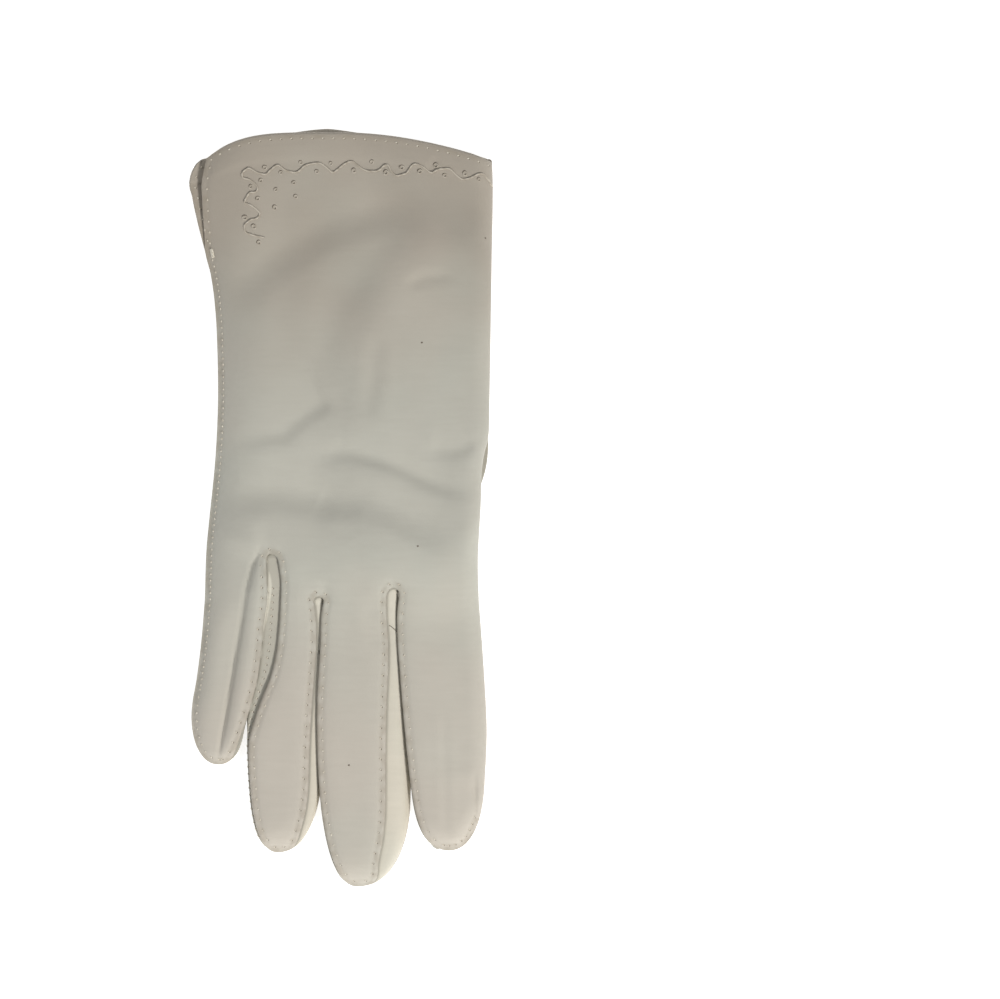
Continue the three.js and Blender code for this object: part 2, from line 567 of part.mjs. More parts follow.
// Turns strips of four-layered points into one closed surface. Faces between the layers close it:
// an open edge joins a sheet's outer face to its inner one, a closed edge joins back and palm.
function closeLayers(strips) {
  const vertices = [];
  const ids = new Map();
  const idOf = (point) => {
    const key = [point.backOuter, point.palmOuter]
      .flatMap((v) => [v.x, v.y, v.z])
      .map((value) => Math.round(value * 1000))
      .join();
    if (!ids.has(key)) {
      ids.set(key, vertices.length);
      vertices.push(point);
    }
    return ids.get(key);
  };
  const triangles = [];
  const edges = new Map();
  const emit = (...corners) => triangles.push(corners);
  const quad = (a, b, c, d) => {
    emit(a, b, c);
    emit(a, c, d);
  };
  for (const strip of strips) {
    const grid = strip.map((row) => row.map(idOf));
    for (let i = 0; i + 1 < grid.length; i += 1) {
      for (let j = 0; j + 1 < grid[i].length; j += 1) {
        const cell = [grid[i][j], grid[i + 1][j], grid[i + 1][j + 1], grid[i][j + 1]];
        const corners = cell.map((id) => vertices[id]);
        const layer = (name) => corners.map((corner) => corner[name]);
        quad(...layer("backOuter"));
        quad(...layer("backInner").reverse());
        quad(...layer("palmInner"));
        quad(...layer("palmOuter").reverse());
        cell.forEach((id, k) => {
          const next = cell[(k + 1) % 4];
          if (id !== next) edges.set(`${id},${next}`, [id, next]);
        });
      }
    }
  }
  const outgoing = new Map();
  for (const [key, [a, b]] of edges) {
    if (!edges.has(`${b},${a}`)) outgoing.set(a, { key, a, b });
  }
  const isClosed = (edge) => vertices[edge.a].closed && vertices[edge.b].closed;
  for (const edge of outgoing.values()) {
    const [a, b] = [vertices[edge.a], vertices[edge.b]];
    const closed = isClosed(edge);
    if (closed) {
      quad(b.backOuter, a.backOuter, a.palmOuter, b.palmOuter);
      quad(b.palmInner, a.palmInner, a.backInner, b.backInner);
    } else {
      quad(b.backOuter, a.backOuter, a.backInner, b.backInner);
      quad(b.palmInner, a.palmInner, a.palmOuter, b.palmOuter);
    }
    const next = outgoing.get(edge.b);
    const nextClosed = isClosed(next);
    if (!closed && nextClosed) quad(b.backOuter, b.backInner, b.palmInner, b.palmOuter);
    if (closed && !nextClosed) quad(b.backOuter, b.palmOuter, b.palmInner, b.backInner);
  }
  return trianglesToGeometry(triangles);
}

// A geometry from triangles of points, welded, without those that have shrunk to a line
function trianglesToGeometry(triangles) {
  const key = (v) => [v.x, v.y, v.z].map((value) => Math.round(value * 1000)).join();
  const kept = triangles.filter((corners) => new Set(corners.map(key)).size === 3);
  const geometry = new THREE.BufferGeometry();
  const positions = kept.flatMap((corners) => corners.flatMap((v) => [v.x, v.y, v.z]));
  geometry.setAttribute("position", new THREE.Float32BufferAttribute(positions, 3));
  return mergeVertices(geometry, 2e-3);
}

// A closed geometry as a solid for cutting, and back
function toSolid(geometry) {
  const vertProperties = new Float32Array(geometry.attributes.position.array);
  const triVerts = new Uint32Array(geometry.index.array);
  return new wasm.Manifold(new wasm.Mesh({ numProp: 3, vertProperties, triVerts }));
}

function toGeometry(solid) {
  const mesh = solid.getMesh();
  const geometry = new THREE.BufferGeometry();
  geometry.setAttribute("position", new THREE.BufferAttribute(mesh.vertProperties, 3));
  geometry.setIndex(new THREE.BufferAttribute(mesh.triVerts, 1));
  return geometry;
}

// The strips of the trank as points, one per finger
function trankStrips() {
  return FINGERS.map((finger, index) => stripRows(index).map((row) => {
    const layers = LAYERS.map((layer) => layerRow(row, layer));
    return layers[0].map((_, column) => {
      const point = { left: row.left, right: row.right };
      LAYERS.forEach((layer, k) => {
        point[layer] = layers[k][column].clone();
        bendToCuff(point[layer], layer.startsWith("back") ? "back" : "palm");
      });
      const last = layers[0].length - 1;
      const atLeft = column === 0 && row.left === 1;
      const atRight = column === last && row.right === 1;
      point.closed = atLeft || atRight || row.inTip === TIP_ANGLES.at(-1);
      if (point.closed) closePoint(point, atRight && row.folded === 1);
      return point;
    });
  }));
}

// At a closed edge the inner faces meet, and round a fold the outer ones too.
function closePoint(point, folded) {
  point.palmInner.copy(point.backInner);
  if (folded) point.palmOuter.copy(point.backOuter);
}

// The hole in the palm and in the thumb's top that the two are sewn round, as an upright cutter
function thumbHole(bottom, top) {
  const centre = thumbAt(THUMB_HOLE_DOWN);
  const shape = new THREE.Shape();
  const angle = Math.atan2(centre.run.y, centre.run.x);
  const [long, wide] = [THUMB_HOLE_LENGTH / 2, THUMB_HOLE_WIDTH / 2];
  shape.absellipse(centre.x, centre.y, long, wide, 0, 2 * Math.PI, false, angle);
  const geometry = new THREE.ExtrudeGeometry(shape, {
    depth: top - bottom, bevelEnabled: false, curveSegments: 24,
  });
  geometry.deleteAttribute("normal");
  geometry.deleteAttribute("uv");
  geometry.translate(0, 0, bottom);
  return toSolid(mergeVertices(geometry));
}

// Trank: back, palm and fingers in one piece of cloth, with the thumb's hole in the palm
function trankGeometry(strips) {
  const cloth = toSolid(closeLayers(strips));
  const palmInside = THUMB_THICKNESS + CLEARANCE + WALL;
  return toGeometry(cloth.subtract(thumbHole(-WALL, palmInside + HOLLOW_OVER_THUMB / 2)));
}

// Thumb: a flat pouch with a seam along its inner side and round its tip
function thumbGeometry() {
  const sines = THUMB_ANGLES.map((angle) => Math.sin(THREE.MathUtils.degToRad(angle)));
  const base = sines.map((sine) => THUMB_BASE_LENGTH * (1 - sine));
  const tip = sines.map((sine) => THUMB_LENGTH - THUMB_TIP_LENGTH * (1 - sine)).reverse();
  const middle = steps(THUMB_BASE_LENGTH, THUMB_LENGTH - THUMB_TIP_LENGTH, THUMB_ROWS);
  const lengths = [...base, ...middle, ...tip];
  const grid = lengths.map((length) => {
    const corner = {};
    for (const layer of LAYERS) corner[layer] = thumbLayerRow(length, layer);
    return corner.backOuter.map((_, column) => {
      const atSide = column === 0 || column === corner.backOuter.length - 1;
      const point = { closed: atSide || length === 0 || length === THUMB_LENGTH };
      for (const layer of LAYERS) point[layer] = corner[layer][column].clone();
      if (point.closed) closePoint(point, false);
      return point;
    });
  });
  const pouch = toSolid(closeLayers([grid]));
  return toGeometry(pouch.subtract(thumbHole(THUMB_THICKNESS / 2, THUMB_THICKNESS + WALL)));
}

// One row of one layer of the thumb's pouch
function thumbLayerRow(length, layer) {
  const inset = layer.endsWith("Inner") ? SEAM_FIN + WALL : 0;
  const inside = THREE.MathUtils.lerp(inset, THUMB_LENGTH - inset, length / THUMB_LENGTH);
  const here = thumbAt(inside);
  const toTip = THUMB_LENGTH - length;
  const arch = Math.min(quarterRound(toTip / THUMB_TIP_LENGTH), quarterRound(length / THUMB_BASE_LENGTH));
  const half = (here.half - inset) * arch;
  const side = new THREE.Vector2(-here.run.y, here.run.x);
  const fin = inset > 0 ? 0 : SEAM_FIN;
  const run = THUMB_RUN - (inset > 0 ? WALL : 0);
  return columnsAcross(-half, half, inset > 0 ? WALL : SEAM_FIN, TURN_WIDTH).map((offset) => {
    const toEdge = half - Math.abs(offset);
    const toEnd = Math.min(toTip, length);
    const rise = quarterRound((toEdge - fin) / run) * quarterRound((toEnd - fin) / run);
    const x = here.x + side.x * offset;
    const y = here.y + side.y * offset;
    const wall = inset > 0 ? WALL : 0;
    if (layer.startsWith("palm")) return new THREE.Vector3(x, y, wall);
    const low = inset > 0 ? WALL : 2 * WALL;
    return new THREE.Vector3(x, y, THREE.MathUtils.lerp(low, THUMB_THICKNESS - wall, rise));
  });
}

// Joins cross-sections with the same number of corners into a closed body with flat ends
function loft(sections) {
  const count = sections[0].length;
  const triangles = [];
  for (let i = 0; i + 1 < sections.length; i += 1) {
    for (let j = 0; j < count; j += 1) {
      const k = (j + 1) % count;
      const [a, b, c, d] = [sections[i][j], sections[i][k], sections[i + 1][k], sections[i + 1][j]];
      triangles.push([a, b, c], [a, c, d]);
    }
  }
  const cap = (section, flip) => {
    for (const face of capTriangles(section)) {
      const corners = face.map((corner) => section[corner]);
      triangles.push(flip ? corners.reverse() : corners);
    }
  };
  cap(sections[0], true);
  cap(sections.at(-1), false);
  return trianglesToGeometry(triangles);
}

// Triangles of a flange section: two flanges and the web between them, or a plain four-sided one
function capTriangles(section) {
  if (section.length === 4) return [[0, 1, 2], [0, 2, 3]];
  return [[0, 1, 2], [0, 2, 3], [0, 3, 4], [0, 4, 7], [4, 5, 6], [4, 6, 7]];
}

// The sides of one gap as stations: from the left finger's tip up, round the crotch and down
function slitStations(strips, index) {
  const crotch = SLITS[index].crotchRise;
  const isOpen = (point, edge) => point.backOuter.y <= crotch + ROUNDING && point[edge] === 0;
  const side = (strip, column) => strip
    .map((row) => row[column])
    .filter((point) => isOpen(point, column === 0 ? "left" : "right"));
  const left = side(strips[index], strips[index][0].length - 1);
  const right = side(strips[index + 1], 0);
  return [...left.reverse(), ...right.slice(1)];
}

// Fourchette: a strip along both fingers and round the crotch, with its edges sewn to the sheets
function fourchetteGeometry(strips, index) {
  const stations = slitStations(strips, index);
  const normal = (layer, i) => {
    const before = stations[Math.max(i - 1, 0)][layer];
    const after = stations[Math.min(i + 1, stations.length - 1)][layer];
    return new THREE.Vector2(before.y - after.y, after.x - before.x).normalize();
  };
  const sections = stations.map((station, i) => {
    const [top, bottom] = [station.backInner, station.palmInner];
    const [topNormal, bottomNormal] = [normal("backInner", i), normal("palmInner", i)];
    const height = top.z - bottom.z - 2 * (CLEARANCE + WALL);
    const slant = Math.hypot(top.x - bottom.x, top.y - bottom.y) / height;
    const thick = WALL * Math.min(Math.hypot(1, slant), STRIP_SLANT);
    const onPalm = (distance, above) => {
      const x = bottom.x + bottomNormal.x * distance;
      const y = bottom.y + bottomNormal.y * distance;
      const lift = Math.max(palmUnder(x, y) - palmUnder(bottom.x, bottom.y), 0);
      return new THREE.Vector3(x, y, bottom.z + lift + CLEARANCE + above);
    };
    const underBack = (distance, below) => {
      const x = top.x + topNormal.x * distance;
      const y = top.y + topNormal.y * distance;
      const lift = Math.min(backTop(x, y) - backTop(top.x, top.y), 0);
      return new THREE.Vector3(x, y, top.z + lift - CLEARANCE - below);
    };
    return [
      onPalm(SEAM_FIN + thick, 0),
      onPalm(0, 0),
      onPalm(0, WALL),
      onPalm(SEAM_FIN, WALL),
      underBack(SEAM_FIN, WALL),
      underBack(0, WALL),
      underBack(0, 0),
      underBack(SEAM_FIN + thick, 0),
    ].reverse();
  });
  return loft(sections);
}

// Embroidery: a cord that winds over the back, set down on the cloth below it
function vineGeometry(cloth) {
  const points = VINE_TURNS.map((turn) => {
    const point = place(turn.across, turn.along);
    return new THREE.Vector3(point.x, point.y, 0);
  });
  const curve = new THREE.CatmullRomCurve3(points, false, "centripetal");
  const count = Math.round(curve.getLength() / VINE_STEP);
  const height = surfaceHeight(cloth);
  const sections = curve.getSpacedPoints(count).map((point, i) => {
    const run = curve.getTangentAt(i / count);
    const side = new THREE.Vector3(run.y, -run.x, 0).normalize();
    const left = point.clone().addScaledVector(side, -VINE_WIDTH / 2);
    const right = point.clone().addScaledVector(side, VINE_WIDTH / 2);
    const floor = Math.max(...[left, point, right].map((v) => height(v.x, v.y))) + CLEARANCE;
    const ridge = VINE_WIDTH / 4;
    return [
      new THREE.Vector3(right.x, right.y, floor),
      new THREE.Vector3(left.x, left.y, floor),
      new THREE.Vector3(point.x - side.x * ridge, point.y - side.y * ridge, floor + VINE_HEIGHT),
      new THREE.Vector3(point.x + side.x * ridge, point.y + side.y * ridge, floor + VINE_HEIGHT),
    ];
  });
  return loft(sections);
}

// The height of a body's top at a place, found by looking straight down on it
function surfaceHeight(geometry) {
  const body = new THREE.Mesh(geometry, new THREE.MeshBasicMaterial({ side: THREE.DoubleSide }));
  const above = 2 * (HAND_HOLLOW + THUMB_THICKNESS + HOLLOW_OVER_THUMB);
  const down = new THREE.Vector3(0, 0, -1);
  return (x, y) => {
    const ray = new THREE.Raycaster(new THREE.Vector3(x, y, above), down);
    return ray.intersectObject(body)[0].point.z;
  };
}

// The cloth's colours: the main cloth, the lighter strips between the fingers and the cord
const CLOTH = { color: 0xb9b4a8, roughness: 0.9, metalness: 0 };
const STRIP_CLOTH = { color: 0xcdc8b6, roughness: 0.9, metalness: 0 };
const CORD = { color: 0xc4bdae, roughness: 0.6, metalness: 0 };

function addMesh(group, name, geometry, finish) {
  const mesh = new THREE.Mesh(geometry, new THREE.MeshStandardMaterial(finish));
  mesh.name = name;
  group.add(mesh);
}

const glove = new THREE.Group();
const strips = trankStrips();
const trank = trankGeometry(strips);
addMesh(glove, "trank", trank, CLOTH);
SLITS.forEach((slit, index) => addMesh(glove, slit.name, fourchetteGeometry(strips, index), STRIP_CLOTH));
addMesh(glove, "thumb", thumbGeometry(), CLOTH);
addMesh(glove, "embroidery_vine", vineGeometry(trank), CORD);

// The origin is on the table under the middle of the glove.
const bounds = new THREE.Box3().setFromObject(glove);
const centre = bounds.getCenter(new THREE.Vector3());
glove.position.set(-centre.x, -centre.y, -bounds.min.z);

export default glove;
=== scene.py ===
# %% [markdown]
# # A lady's embroidered dress glove
# The glove lies palm down on a pale table, with its open cuff at the back and its fingers towards
# the viewer. A real one is sewn from a few flat pieces: the trank, which is back, palm and fingers
# in one folded piece of cloth, a narrow strip called a fourchette in each gap between two fingers,
# and a thumb that is set into a hole in the palm. This lesson lays the same pieces out as thin
# curved sheets, sews them with small stitches and embroiders the cuff.

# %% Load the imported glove, which gives the frame that every piece is made in
import math

import bpy
import numpy as np
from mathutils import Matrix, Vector, noise
from mathutils.bvhtree import BVHTree


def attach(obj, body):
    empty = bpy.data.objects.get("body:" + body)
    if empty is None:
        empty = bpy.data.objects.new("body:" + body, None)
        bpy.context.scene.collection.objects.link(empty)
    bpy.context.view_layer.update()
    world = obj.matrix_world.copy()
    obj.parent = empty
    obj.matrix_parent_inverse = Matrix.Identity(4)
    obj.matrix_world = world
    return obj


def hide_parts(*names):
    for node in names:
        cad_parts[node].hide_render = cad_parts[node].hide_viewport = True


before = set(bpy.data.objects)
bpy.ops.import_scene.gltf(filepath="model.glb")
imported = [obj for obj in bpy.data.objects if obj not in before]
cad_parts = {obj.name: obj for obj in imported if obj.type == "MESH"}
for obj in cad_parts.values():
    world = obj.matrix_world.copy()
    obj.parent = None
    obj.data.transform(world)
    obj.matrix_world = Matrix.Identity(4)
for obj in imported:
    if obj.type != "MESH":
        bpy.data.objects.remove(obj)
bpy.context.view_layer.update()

for left_over in ("Cube", "Light", "Camera"):
    if left_over in bpy.data.objects:
        bpy.data.objects.remove(bpy.data.objects[left_over])
bpy.ops.object.select_all(action="DESELECT")

# %% [markdown]
# ## Sizes
# All lengths are in millimetres here and become metres only when a mesh is made. The hand is
# described from its cuff to the finger line, which is the line across the fingers' roots. x runs
# towards the index finger, y towards the cuff and z up, and y is 0 at the finger line.

# %% Sizes of the cloth, the hand and the fingers
MM = 0.001
GLOVE_TO_FRAME = (0.035, -29.65, 0)  # moves the finger line's middle to its place in the frame
CLOTH = 0.8  # thickness of one layer
STRIP_CLOTH = 0.6  # and of the finer cloth between the fingers
TWO_WALLS = 2.0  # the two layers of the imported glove, which sets the heights
LAYER_GAP = 0.1  # air between two layers that are sewn together
FIN = 1.7  # the two layers of a seam lie flat this far
SEAM_IN = 1.8  # stitches stand this far inside an edge
GROOVE = 0.22  # the stitches pull the cloth in this deep
GROOVE_WIDTH = 0.62
EDGE_TURN = {"by": 0.22, "within": 0.6}  # a sewn edge turns to the other layer

HAND_LENGTH = 151.8
KNUCKLE_WIDTH = 89.3
FINGER_LENGTH = 93.3
HAND_HOLLOW = 8.0
FINGER_HOLLOW = 5.6
VENT_LENGTH = 38.7
VENT_RUN = 9.0
FOLD_RUN = 6.0
TIP_RUN = 9.0
TIP_ROUNDNESS = 2.2
KNUCKLE_EASE = 14.0
HEM_DEPTH = 8.5
CUFF_EASE = 45.0
FINGER_CROWN = 1.5  # a finger's back is this much lower at its edges than in its middle
CROWN_RUN = 7.0

FINGERS = {
    "name": ["little", "ring", "middle", "index"],
    "root": [0.2363, 0.1803, 0.2743, 0.3091],
    "long": [0.5745, 0.881, 1.0, 0.8746],
    "tip": [0.364, 0.309, 0.3033, 0.3027],
    "tip_across": [-0.285, -0.338, 0.01, 0.147],
}
ROOT_WIDTH = np.array(FINGERS["root"]) * KNUCKLE_WIDTH
LENGTH = np.array(FINGERS["long"]) * FINGER_LENGTH
TIP_LENGTH = np.array(FINGERS["tip"]) * LENGTH
TIP_ACROSS = np.array(FINGERS["tip_across"]) * ROOT_WIDTH
PITCH = KNUCKLE_WIDTH / 4
print("finger lengths", LENGTH.round(1), "widths", ROOT_WIDTH.round(1))

# %% [markdown]
# ## Outlines
# A glove maker cuts the trank round a paper pattern. The pattern here is a few short tables: a row
# for each place where the outline changes, with its place along the glove and how far out the
# edge lies, in knuckle widths. A smooth curve is drawn through the rows, so a table stays short.

# %% The outline of the hand, the fingers' outer edges and the gaps between the fingers
VENT_SIDE = {
    "along": [0, 0.056, 0.09, 0.143, 0.197, 0.255, 0.304, 0.358, 0.433, 0.572, 0.7, 0.829, 0.893, 1],
    "back": [-0.491, -0.511, -0.51, -0.507, -0.502, -0.498, -0.479, -0.466, -0.457, -0.453, -0.463,
             -0.485, -0.495, -0.501],
    "palm": [-0.5, -0.551, -0.546, -0.532, -0.517, -0.498, -0.479, -0.466, -0.457, -0.453, -0.463,
             -0.485, -0.495, -0.501],
    "closed": [0.5, 0.52, 0.55, 0.65, 0.8, 1, 1, 1, 1, 1, 1, 1, 1, 1],
}
CORNER = {"along": [0, 0.012, 0.03, 0.056, 0.08], "out": [0, 0.014, 0.016, 0.006, 0]}
FOLD_SIDE = {
    "along": [0, 0.056, 0.143, 0.315, 0.572, 0.651, 0.69, 0.722, 0.786, 0.914, 1],
    "edge": [0.546, 0.549, 0.548, 0.544, 0.537, 0.533, 0.517, 0.509, 0.506, 0.495, 0.498],
}
LITTLE_SIDE = {
    "along": [0, 0.24, 0.48, 0.61, 0.73, 1],
    "edge": [-0.501, -0.513, -0.531, -0.545, -0.552, -0.558],
}
INDEX_SIDE = {
    "along": [0, 0.16, 0.34, 0.5, 0.62, 0.72, 1],
    "edge": [0.498, 0.509, 0.52, 0.527, 0.525, 0.52, 0.52],
}
CUFF_EDGE = {
    "back": {"peak": -0.025, "rise": 0, "vent": 0.0494, "vent_power": 4, "fold": 0.06, "fold_power": 2},
    "palm": {"peak": -0.05, "rise": 0.0095, "vent": 0.0613, "vent_power": 1.6, "fold": 0.0652,
             "fold_power": 1.2},
}
# left and right are the sides of a gap in finger pitches from its root, on the back and the palm
SLITS = [
    {
        "name": "fourchette_little_ring", "rise": 0.16, "radius": 0.1075,
        "along": [-0.14, -0.07, 0, 0.09, 0.175, 0.26, 0.33, 0.42, 0.5, 0.68, 0.9],
        "back_left": [-0.05, -0.035, -0.03, -0.085, -0.115, -0.16, -0.225, -0.325, -0.385, -0.385, -0.385],
        "back_right": [0.116, 0.167, 0.167, 0.145, 0.109, 0.029, -0.087, -0.22, -0.3, -0.276, -0.276],
        "palm_left": [-0.17, -0.16, -0.16, -0.2, -0.225, -0.26, -0.31, -0.365, -0.335, -0.33, -0.33],
        "palm_right": [-0.13, -0.12, -0.12, -0.16, -0.185, -0.22, -0.27, -0.33, -0.3, -0.27, -0.27],
    },
    {
        "name": "fourchette_ring_middle", "rise": 0.0118, "radius": 0.0806,
        "along": [0, 0.05, 0.14, 0.23, 0.35, 0.5, 0.65, 0.8, 0.94],
        "back_left": [-0.073, -0.04, -0.03, -0.051, -0.09, -0.128, -0.145, -0.153, -0.153],
        "back_right": [0.073, 0.036, 0.023, 0.002, -0.025, -0.022, 0.005, 0.065, 0.109],
        "palm_left": [0.11, 0.09, 0.075, 0.055, 0.03, 0.03, 0.035, 0.005, 0.0],
        "palm_right": [0.15, 0.13, 0.115, 0.095, 0.07, 0.07, 0.08, 0.1, 0.13],
    },
    {
        "name": "fourchette_middle_index", "rise": 0.0418, "radius": 0.1165,
        "along": [-0.04, 0.05, 0.14, 0.21, 0.35, 0.52, 0.6, 0.68, 0.87],
        "back_left": [-0.102, -0.105, -0.08, -0.077, -0.102, -0.118, -0.12, -0.12, -0.131],
        "back_right": [0.087, 0.045, 0.051, 0.07, 0.116, 0.182, 0.22, 0.253, 0.253],
        "palm_left": [0.13, 0.1, 0.105, 0.122, 0.168, 0.228, 0.247, 0.24, 0.225],
        "palm_right": [0.17, 0.14, 0.145, 0.162, 0.208, 0.268, 0.287, 0.29, 0.29],
    },
]
CROTCH = [slit["rise"] * FINGER_LENGTH for slit in SLITS]
CROTCH_RADIUS = [slit["radius"] * PITCH for slit in SLITS]
print("gaps start at", np.round(CROTCH, 1))

# %% [markdown]
# ## Reading a pattern
# A pattern cutter joins a few marked places with a smooth curve. The same is done here in numbers:
# a cubic curve runs through a table's rows, so the outline has no corners although the table is
# short. Modelling the outline by hand would work too, but a table is easier to correct.

# %% Reading the tables
def ease(start, end, value):
    """0 below start, 1 above end and smooth between."""
    share = np.clip((value - start) / (end - start), 0, 1)
    return share * share * (3 - 2 * share)


def quarter_round(share):
    """Height of a quarter circle over its own width, from 0 at the edge to 1."""
    inside = np.clip(share, 0, 1)
    return np.sqrt(1 - (1 - inside) ** 2)


def mix(a, b, share):
    return a + (b - a) * share


def read(table, column, at):
    """A column of a table at any place along it, on a smooth curve through its rows."""
    x, v = np.array(table["along"], float), np.array(table[column], float)
    k = np.arange(len(x))
    before, after = np.maximum(k - 1, 0), np.minimum(k + 1, len(x) - 1)
    slope = (v[after] - v[before]) / (x[after] - x[before])
    at = np.clip(at, x[0], x[-1])
    i = np.clip(np.searchsorted(x, at, side="right") - 1, 0, len(x) - 2)
    span = x[i + 1] - x[i]
    t = (at - x[i]) / span
    ends = v[i] * (2 * t**3 - 3 * t**2 + 1) + v[i + 1] * (3 * t**2 - 2 * t**3)
    return ends + span * (slope[i] * (t**3 - 2 * t**2 + t) + slope[i + 1] * (t**3 - t**2))


def hand_sides(y, sheet):
    along = 1 - y / HAND_LENGTH
    left = read(VENT_SIDE, sheet, along) * KNUCKLE_WIDTH
    if sheet == "palm":
        left = left - read(CORNER, "out", along) * KNUCKLE_WIDTH
    right = read(FOLD_SIDE, "edge", along) * KNUCKLE_WIDTH
    return left, right


def boundary(index, y, sheet):
    """The line between two fingers, carried on through the hand as a share of its width."""
    left, right = hand_sides(np.maximum(y, 0), sheet)
    return left + (right - left) * ROOT_WIDTH[:index].sum() / KNUCKLE_WIDTH


def slit_side(index, y, sheet, side):
    slit = SLITS[index]
    rounding = quarter_round((CROTCH[index] - y) / CROTCH_RADIUS[index])
    off = read(slit, f"{sheet}_{side}", -y / FINGER_LENGTH) * PITCH
    return boundary(index + 1, y, sheet) + off * rounding


def strip_edges(index, y, sheet):
    """The two edges of one finger's strip, from the cuff down to the tip."""
    left, right = hand_sides(np.maximum(y, 0), sheet)
    if index == 0:
        left = np.where(y < 0, read(LITTLE_SIDE, "edge", -y / LENGTH[0]) * KNUCKLE_WIDTH, left)
    else:
        left = np.where(y < CROTCH[index - 1], slit_side(index - 1, y, sheet, "right"),
                        boundary(index, y, sheet))
    if index == 3:
        right = np.where(y < 0, read(INDEX_SIDE, "edge", -y / LENGTH[3]) * KNUCKLE_WIDTH, right)
    else:
        right = np.where(y < CROTCH[index], slit_side(index, y, sheet, "left"),
                         boundary(index + 1, y, sheet))
    return left, right


print("width at the cuff", [round(float(v), 1) for v in hand_sides(HAND_LENGTH, "palm")])

# %% [markdown]
# ## Places that were read off the picture
# Folds, embroidery and stitches are set out one by one. They are written as pixels of the 1000 by 999
# picture, because that is how they were found, and turned into millimetres on the glove. What
# stands up or sinks in is always set on the cloth below it, so only its place is given.

# %% From the picture to the glove
PIXEL = 0.325  # millimetres for each pixel
PICTURE_MIDDLE = (342.0, 600.0)  # the pixel at x = 0 on the finger line


def spots(*pixels):
    """Pixels of the picture as places on the glove, in millimetres."""
    uv = np.array(pixels, float)
    return np.stack([uv[:, 0] - PICTURE_MIDDLE[0], PICTURE_MIDDLE[1] - uv[:, 1]], axis=1) * PIXEL


# %% [markdown]
# ## Folds
# A glove that has been put away flat keeps soft dents where it was creased. Each fold here is a
# line with a width and a depth: the cloth sinks along the line and swells a little beside it. The
# big folds are wide and shallow, and only the creases in the little finger and at the index
# fingertip are narrow.

# %% The folds in the back
# A step lowers the cloth on the left of the way its line runs, and fades out over its reach.
# sharp makes it a crisp edge, which runs out this far on the high side. fade is the share of the
# line, at each end, over which the step comes and goes.
FOLDS = [
    {"line": spots((228, 316), (252, 292), (277, 271), (313, 247), (343, 232), (374, 222), (430, 211)),
     "width": 6.5, "step": 2.2, "reach": 28, "depth": 0.35, "swell": 0.1},
    {"line": spots((402, 230), (372, 262), (345, 300), (325, 350)),
     "width": 6.0, "depth": 0.55, "swell": 0.2},
    {"line": spots((376, 345), (374, 375), (369, 408)), "width": 2.6, "depth": 0.36, "swell": 0.15},
    {"line": spots((411, 284), (425, 278), (448, 276)), "width": 1.8, "depth": 0.42, "swell": 0.08},
    {"line": spots((228, 444), (268, 441), (286, 438), (302, 424), (323, 409), (336, 402)),
     "width": 3.0, "step": 1.2, "reach": 16, "depth": 0.25, "swell": 0.05},
    {"line": spots((325, 455), (343, 453), (364, 458), (384, 464), (400, 470),
                   (416, 478), (432, 485), (448, 489), (463, 490)),
     "width": 2.8, "step": 1.5, "reach": 8, "fade": 0.32, "depth": 0.8, "swell": 0.08},
    {"line": spots((427, 451), (451, 454), (466, 450), (478, 441)),
     "width": 2.2, "step": 0.7, "reach": 8, "depth": 0.35, "swell": 0.05},
    {"line": spots((196, 504), (241, 505), (272, 503), (302, 505), (330, 509),
                   (362, 510), (394, 521), (430, 539), (468, 554)),
     "width": 5.5, "step": 2.3, "reach": 18, "depth": 0.4, "swell": 0.1},
    {"line": spots((318, 500), (343, 512), (352, 538)), "width": 6.0, "depth": 0.6, "swell": 0.0},
    {"line": spots((217, 764), (220, 745), (226, 712), (231, 680), (236, 650),
                   (241, 622), (246, 590), (252, 566), (262, 546)),
     "width": 0.6, "step": 2.3, "reach": 12.0, "sharp": 4.6, "fade": 0.12, "depth": 0.7, "swell": 0.0},
    {"line": spots((430, 160), (434, 153), (438, 148)), "width": 0.9, "depth": 0.35, "swell": 0.15},
    {"line": spots((444, 715), (445, 770), (446, 830)), "width": 1.3, "depth": 0.14, "swell": 0.1},
    {"line": spots((466, 846), (474, 832), (476.5, 812), (475, 795), (475.5, 776)),
     "width": 0.5, "step": 1.2, "reach": 7, "sharp": 2.4, "fade": 0.2, "depth": 0.4, "swell": 0.0},
    {"line": spots((371, 606), (372, 622), (378, 640)), "width": 2.4, "depth": 0.35, "swell": 0.15},
    {"line": spots((262, 536), (266, 551)), "width": 2.4, "depth": 0.5, "swell": 0.1},
    {"line": spots((324, 585), (328, 597)), "width": 1.6, "depth": 0.3, "swell": 0.1},
    {"line": spots((330, 600), (342, 632), (346, 655)), "width": 3.2, "depth": 0.16, "swell": 0.08},
]


def away_from(line, x, y):
    """Distance to a line of points, the side of it (1 is left) and the share run along it."""
    best = np.full(np.shape(x), 1e9)
    side = np.ones(np.shape(x))
    run = np.zeros(np.shape(x))
    for i, ((ax, ay), (bx, by)) in enumerate(zip(line[:-1], line[1:])):
        dx, dy = bx - ax, by - ay
        t = np.clip(((x - ax) * dx + (y - ay) * dy) / (dx * dx + dy * dy), 0, 1)
        px, py = x - ax - t * dx, y - ay - t * dy
        distance = np.hypot(px, py)
        nearer = distance < best
        best = np.where(nearer, distance, best)
        side = np.where(nearer, np.sign(dx * py - dy * px), side)
        run = np.where(nearer, (i + t) / (len(line) - 1), run)
    return best, side, run


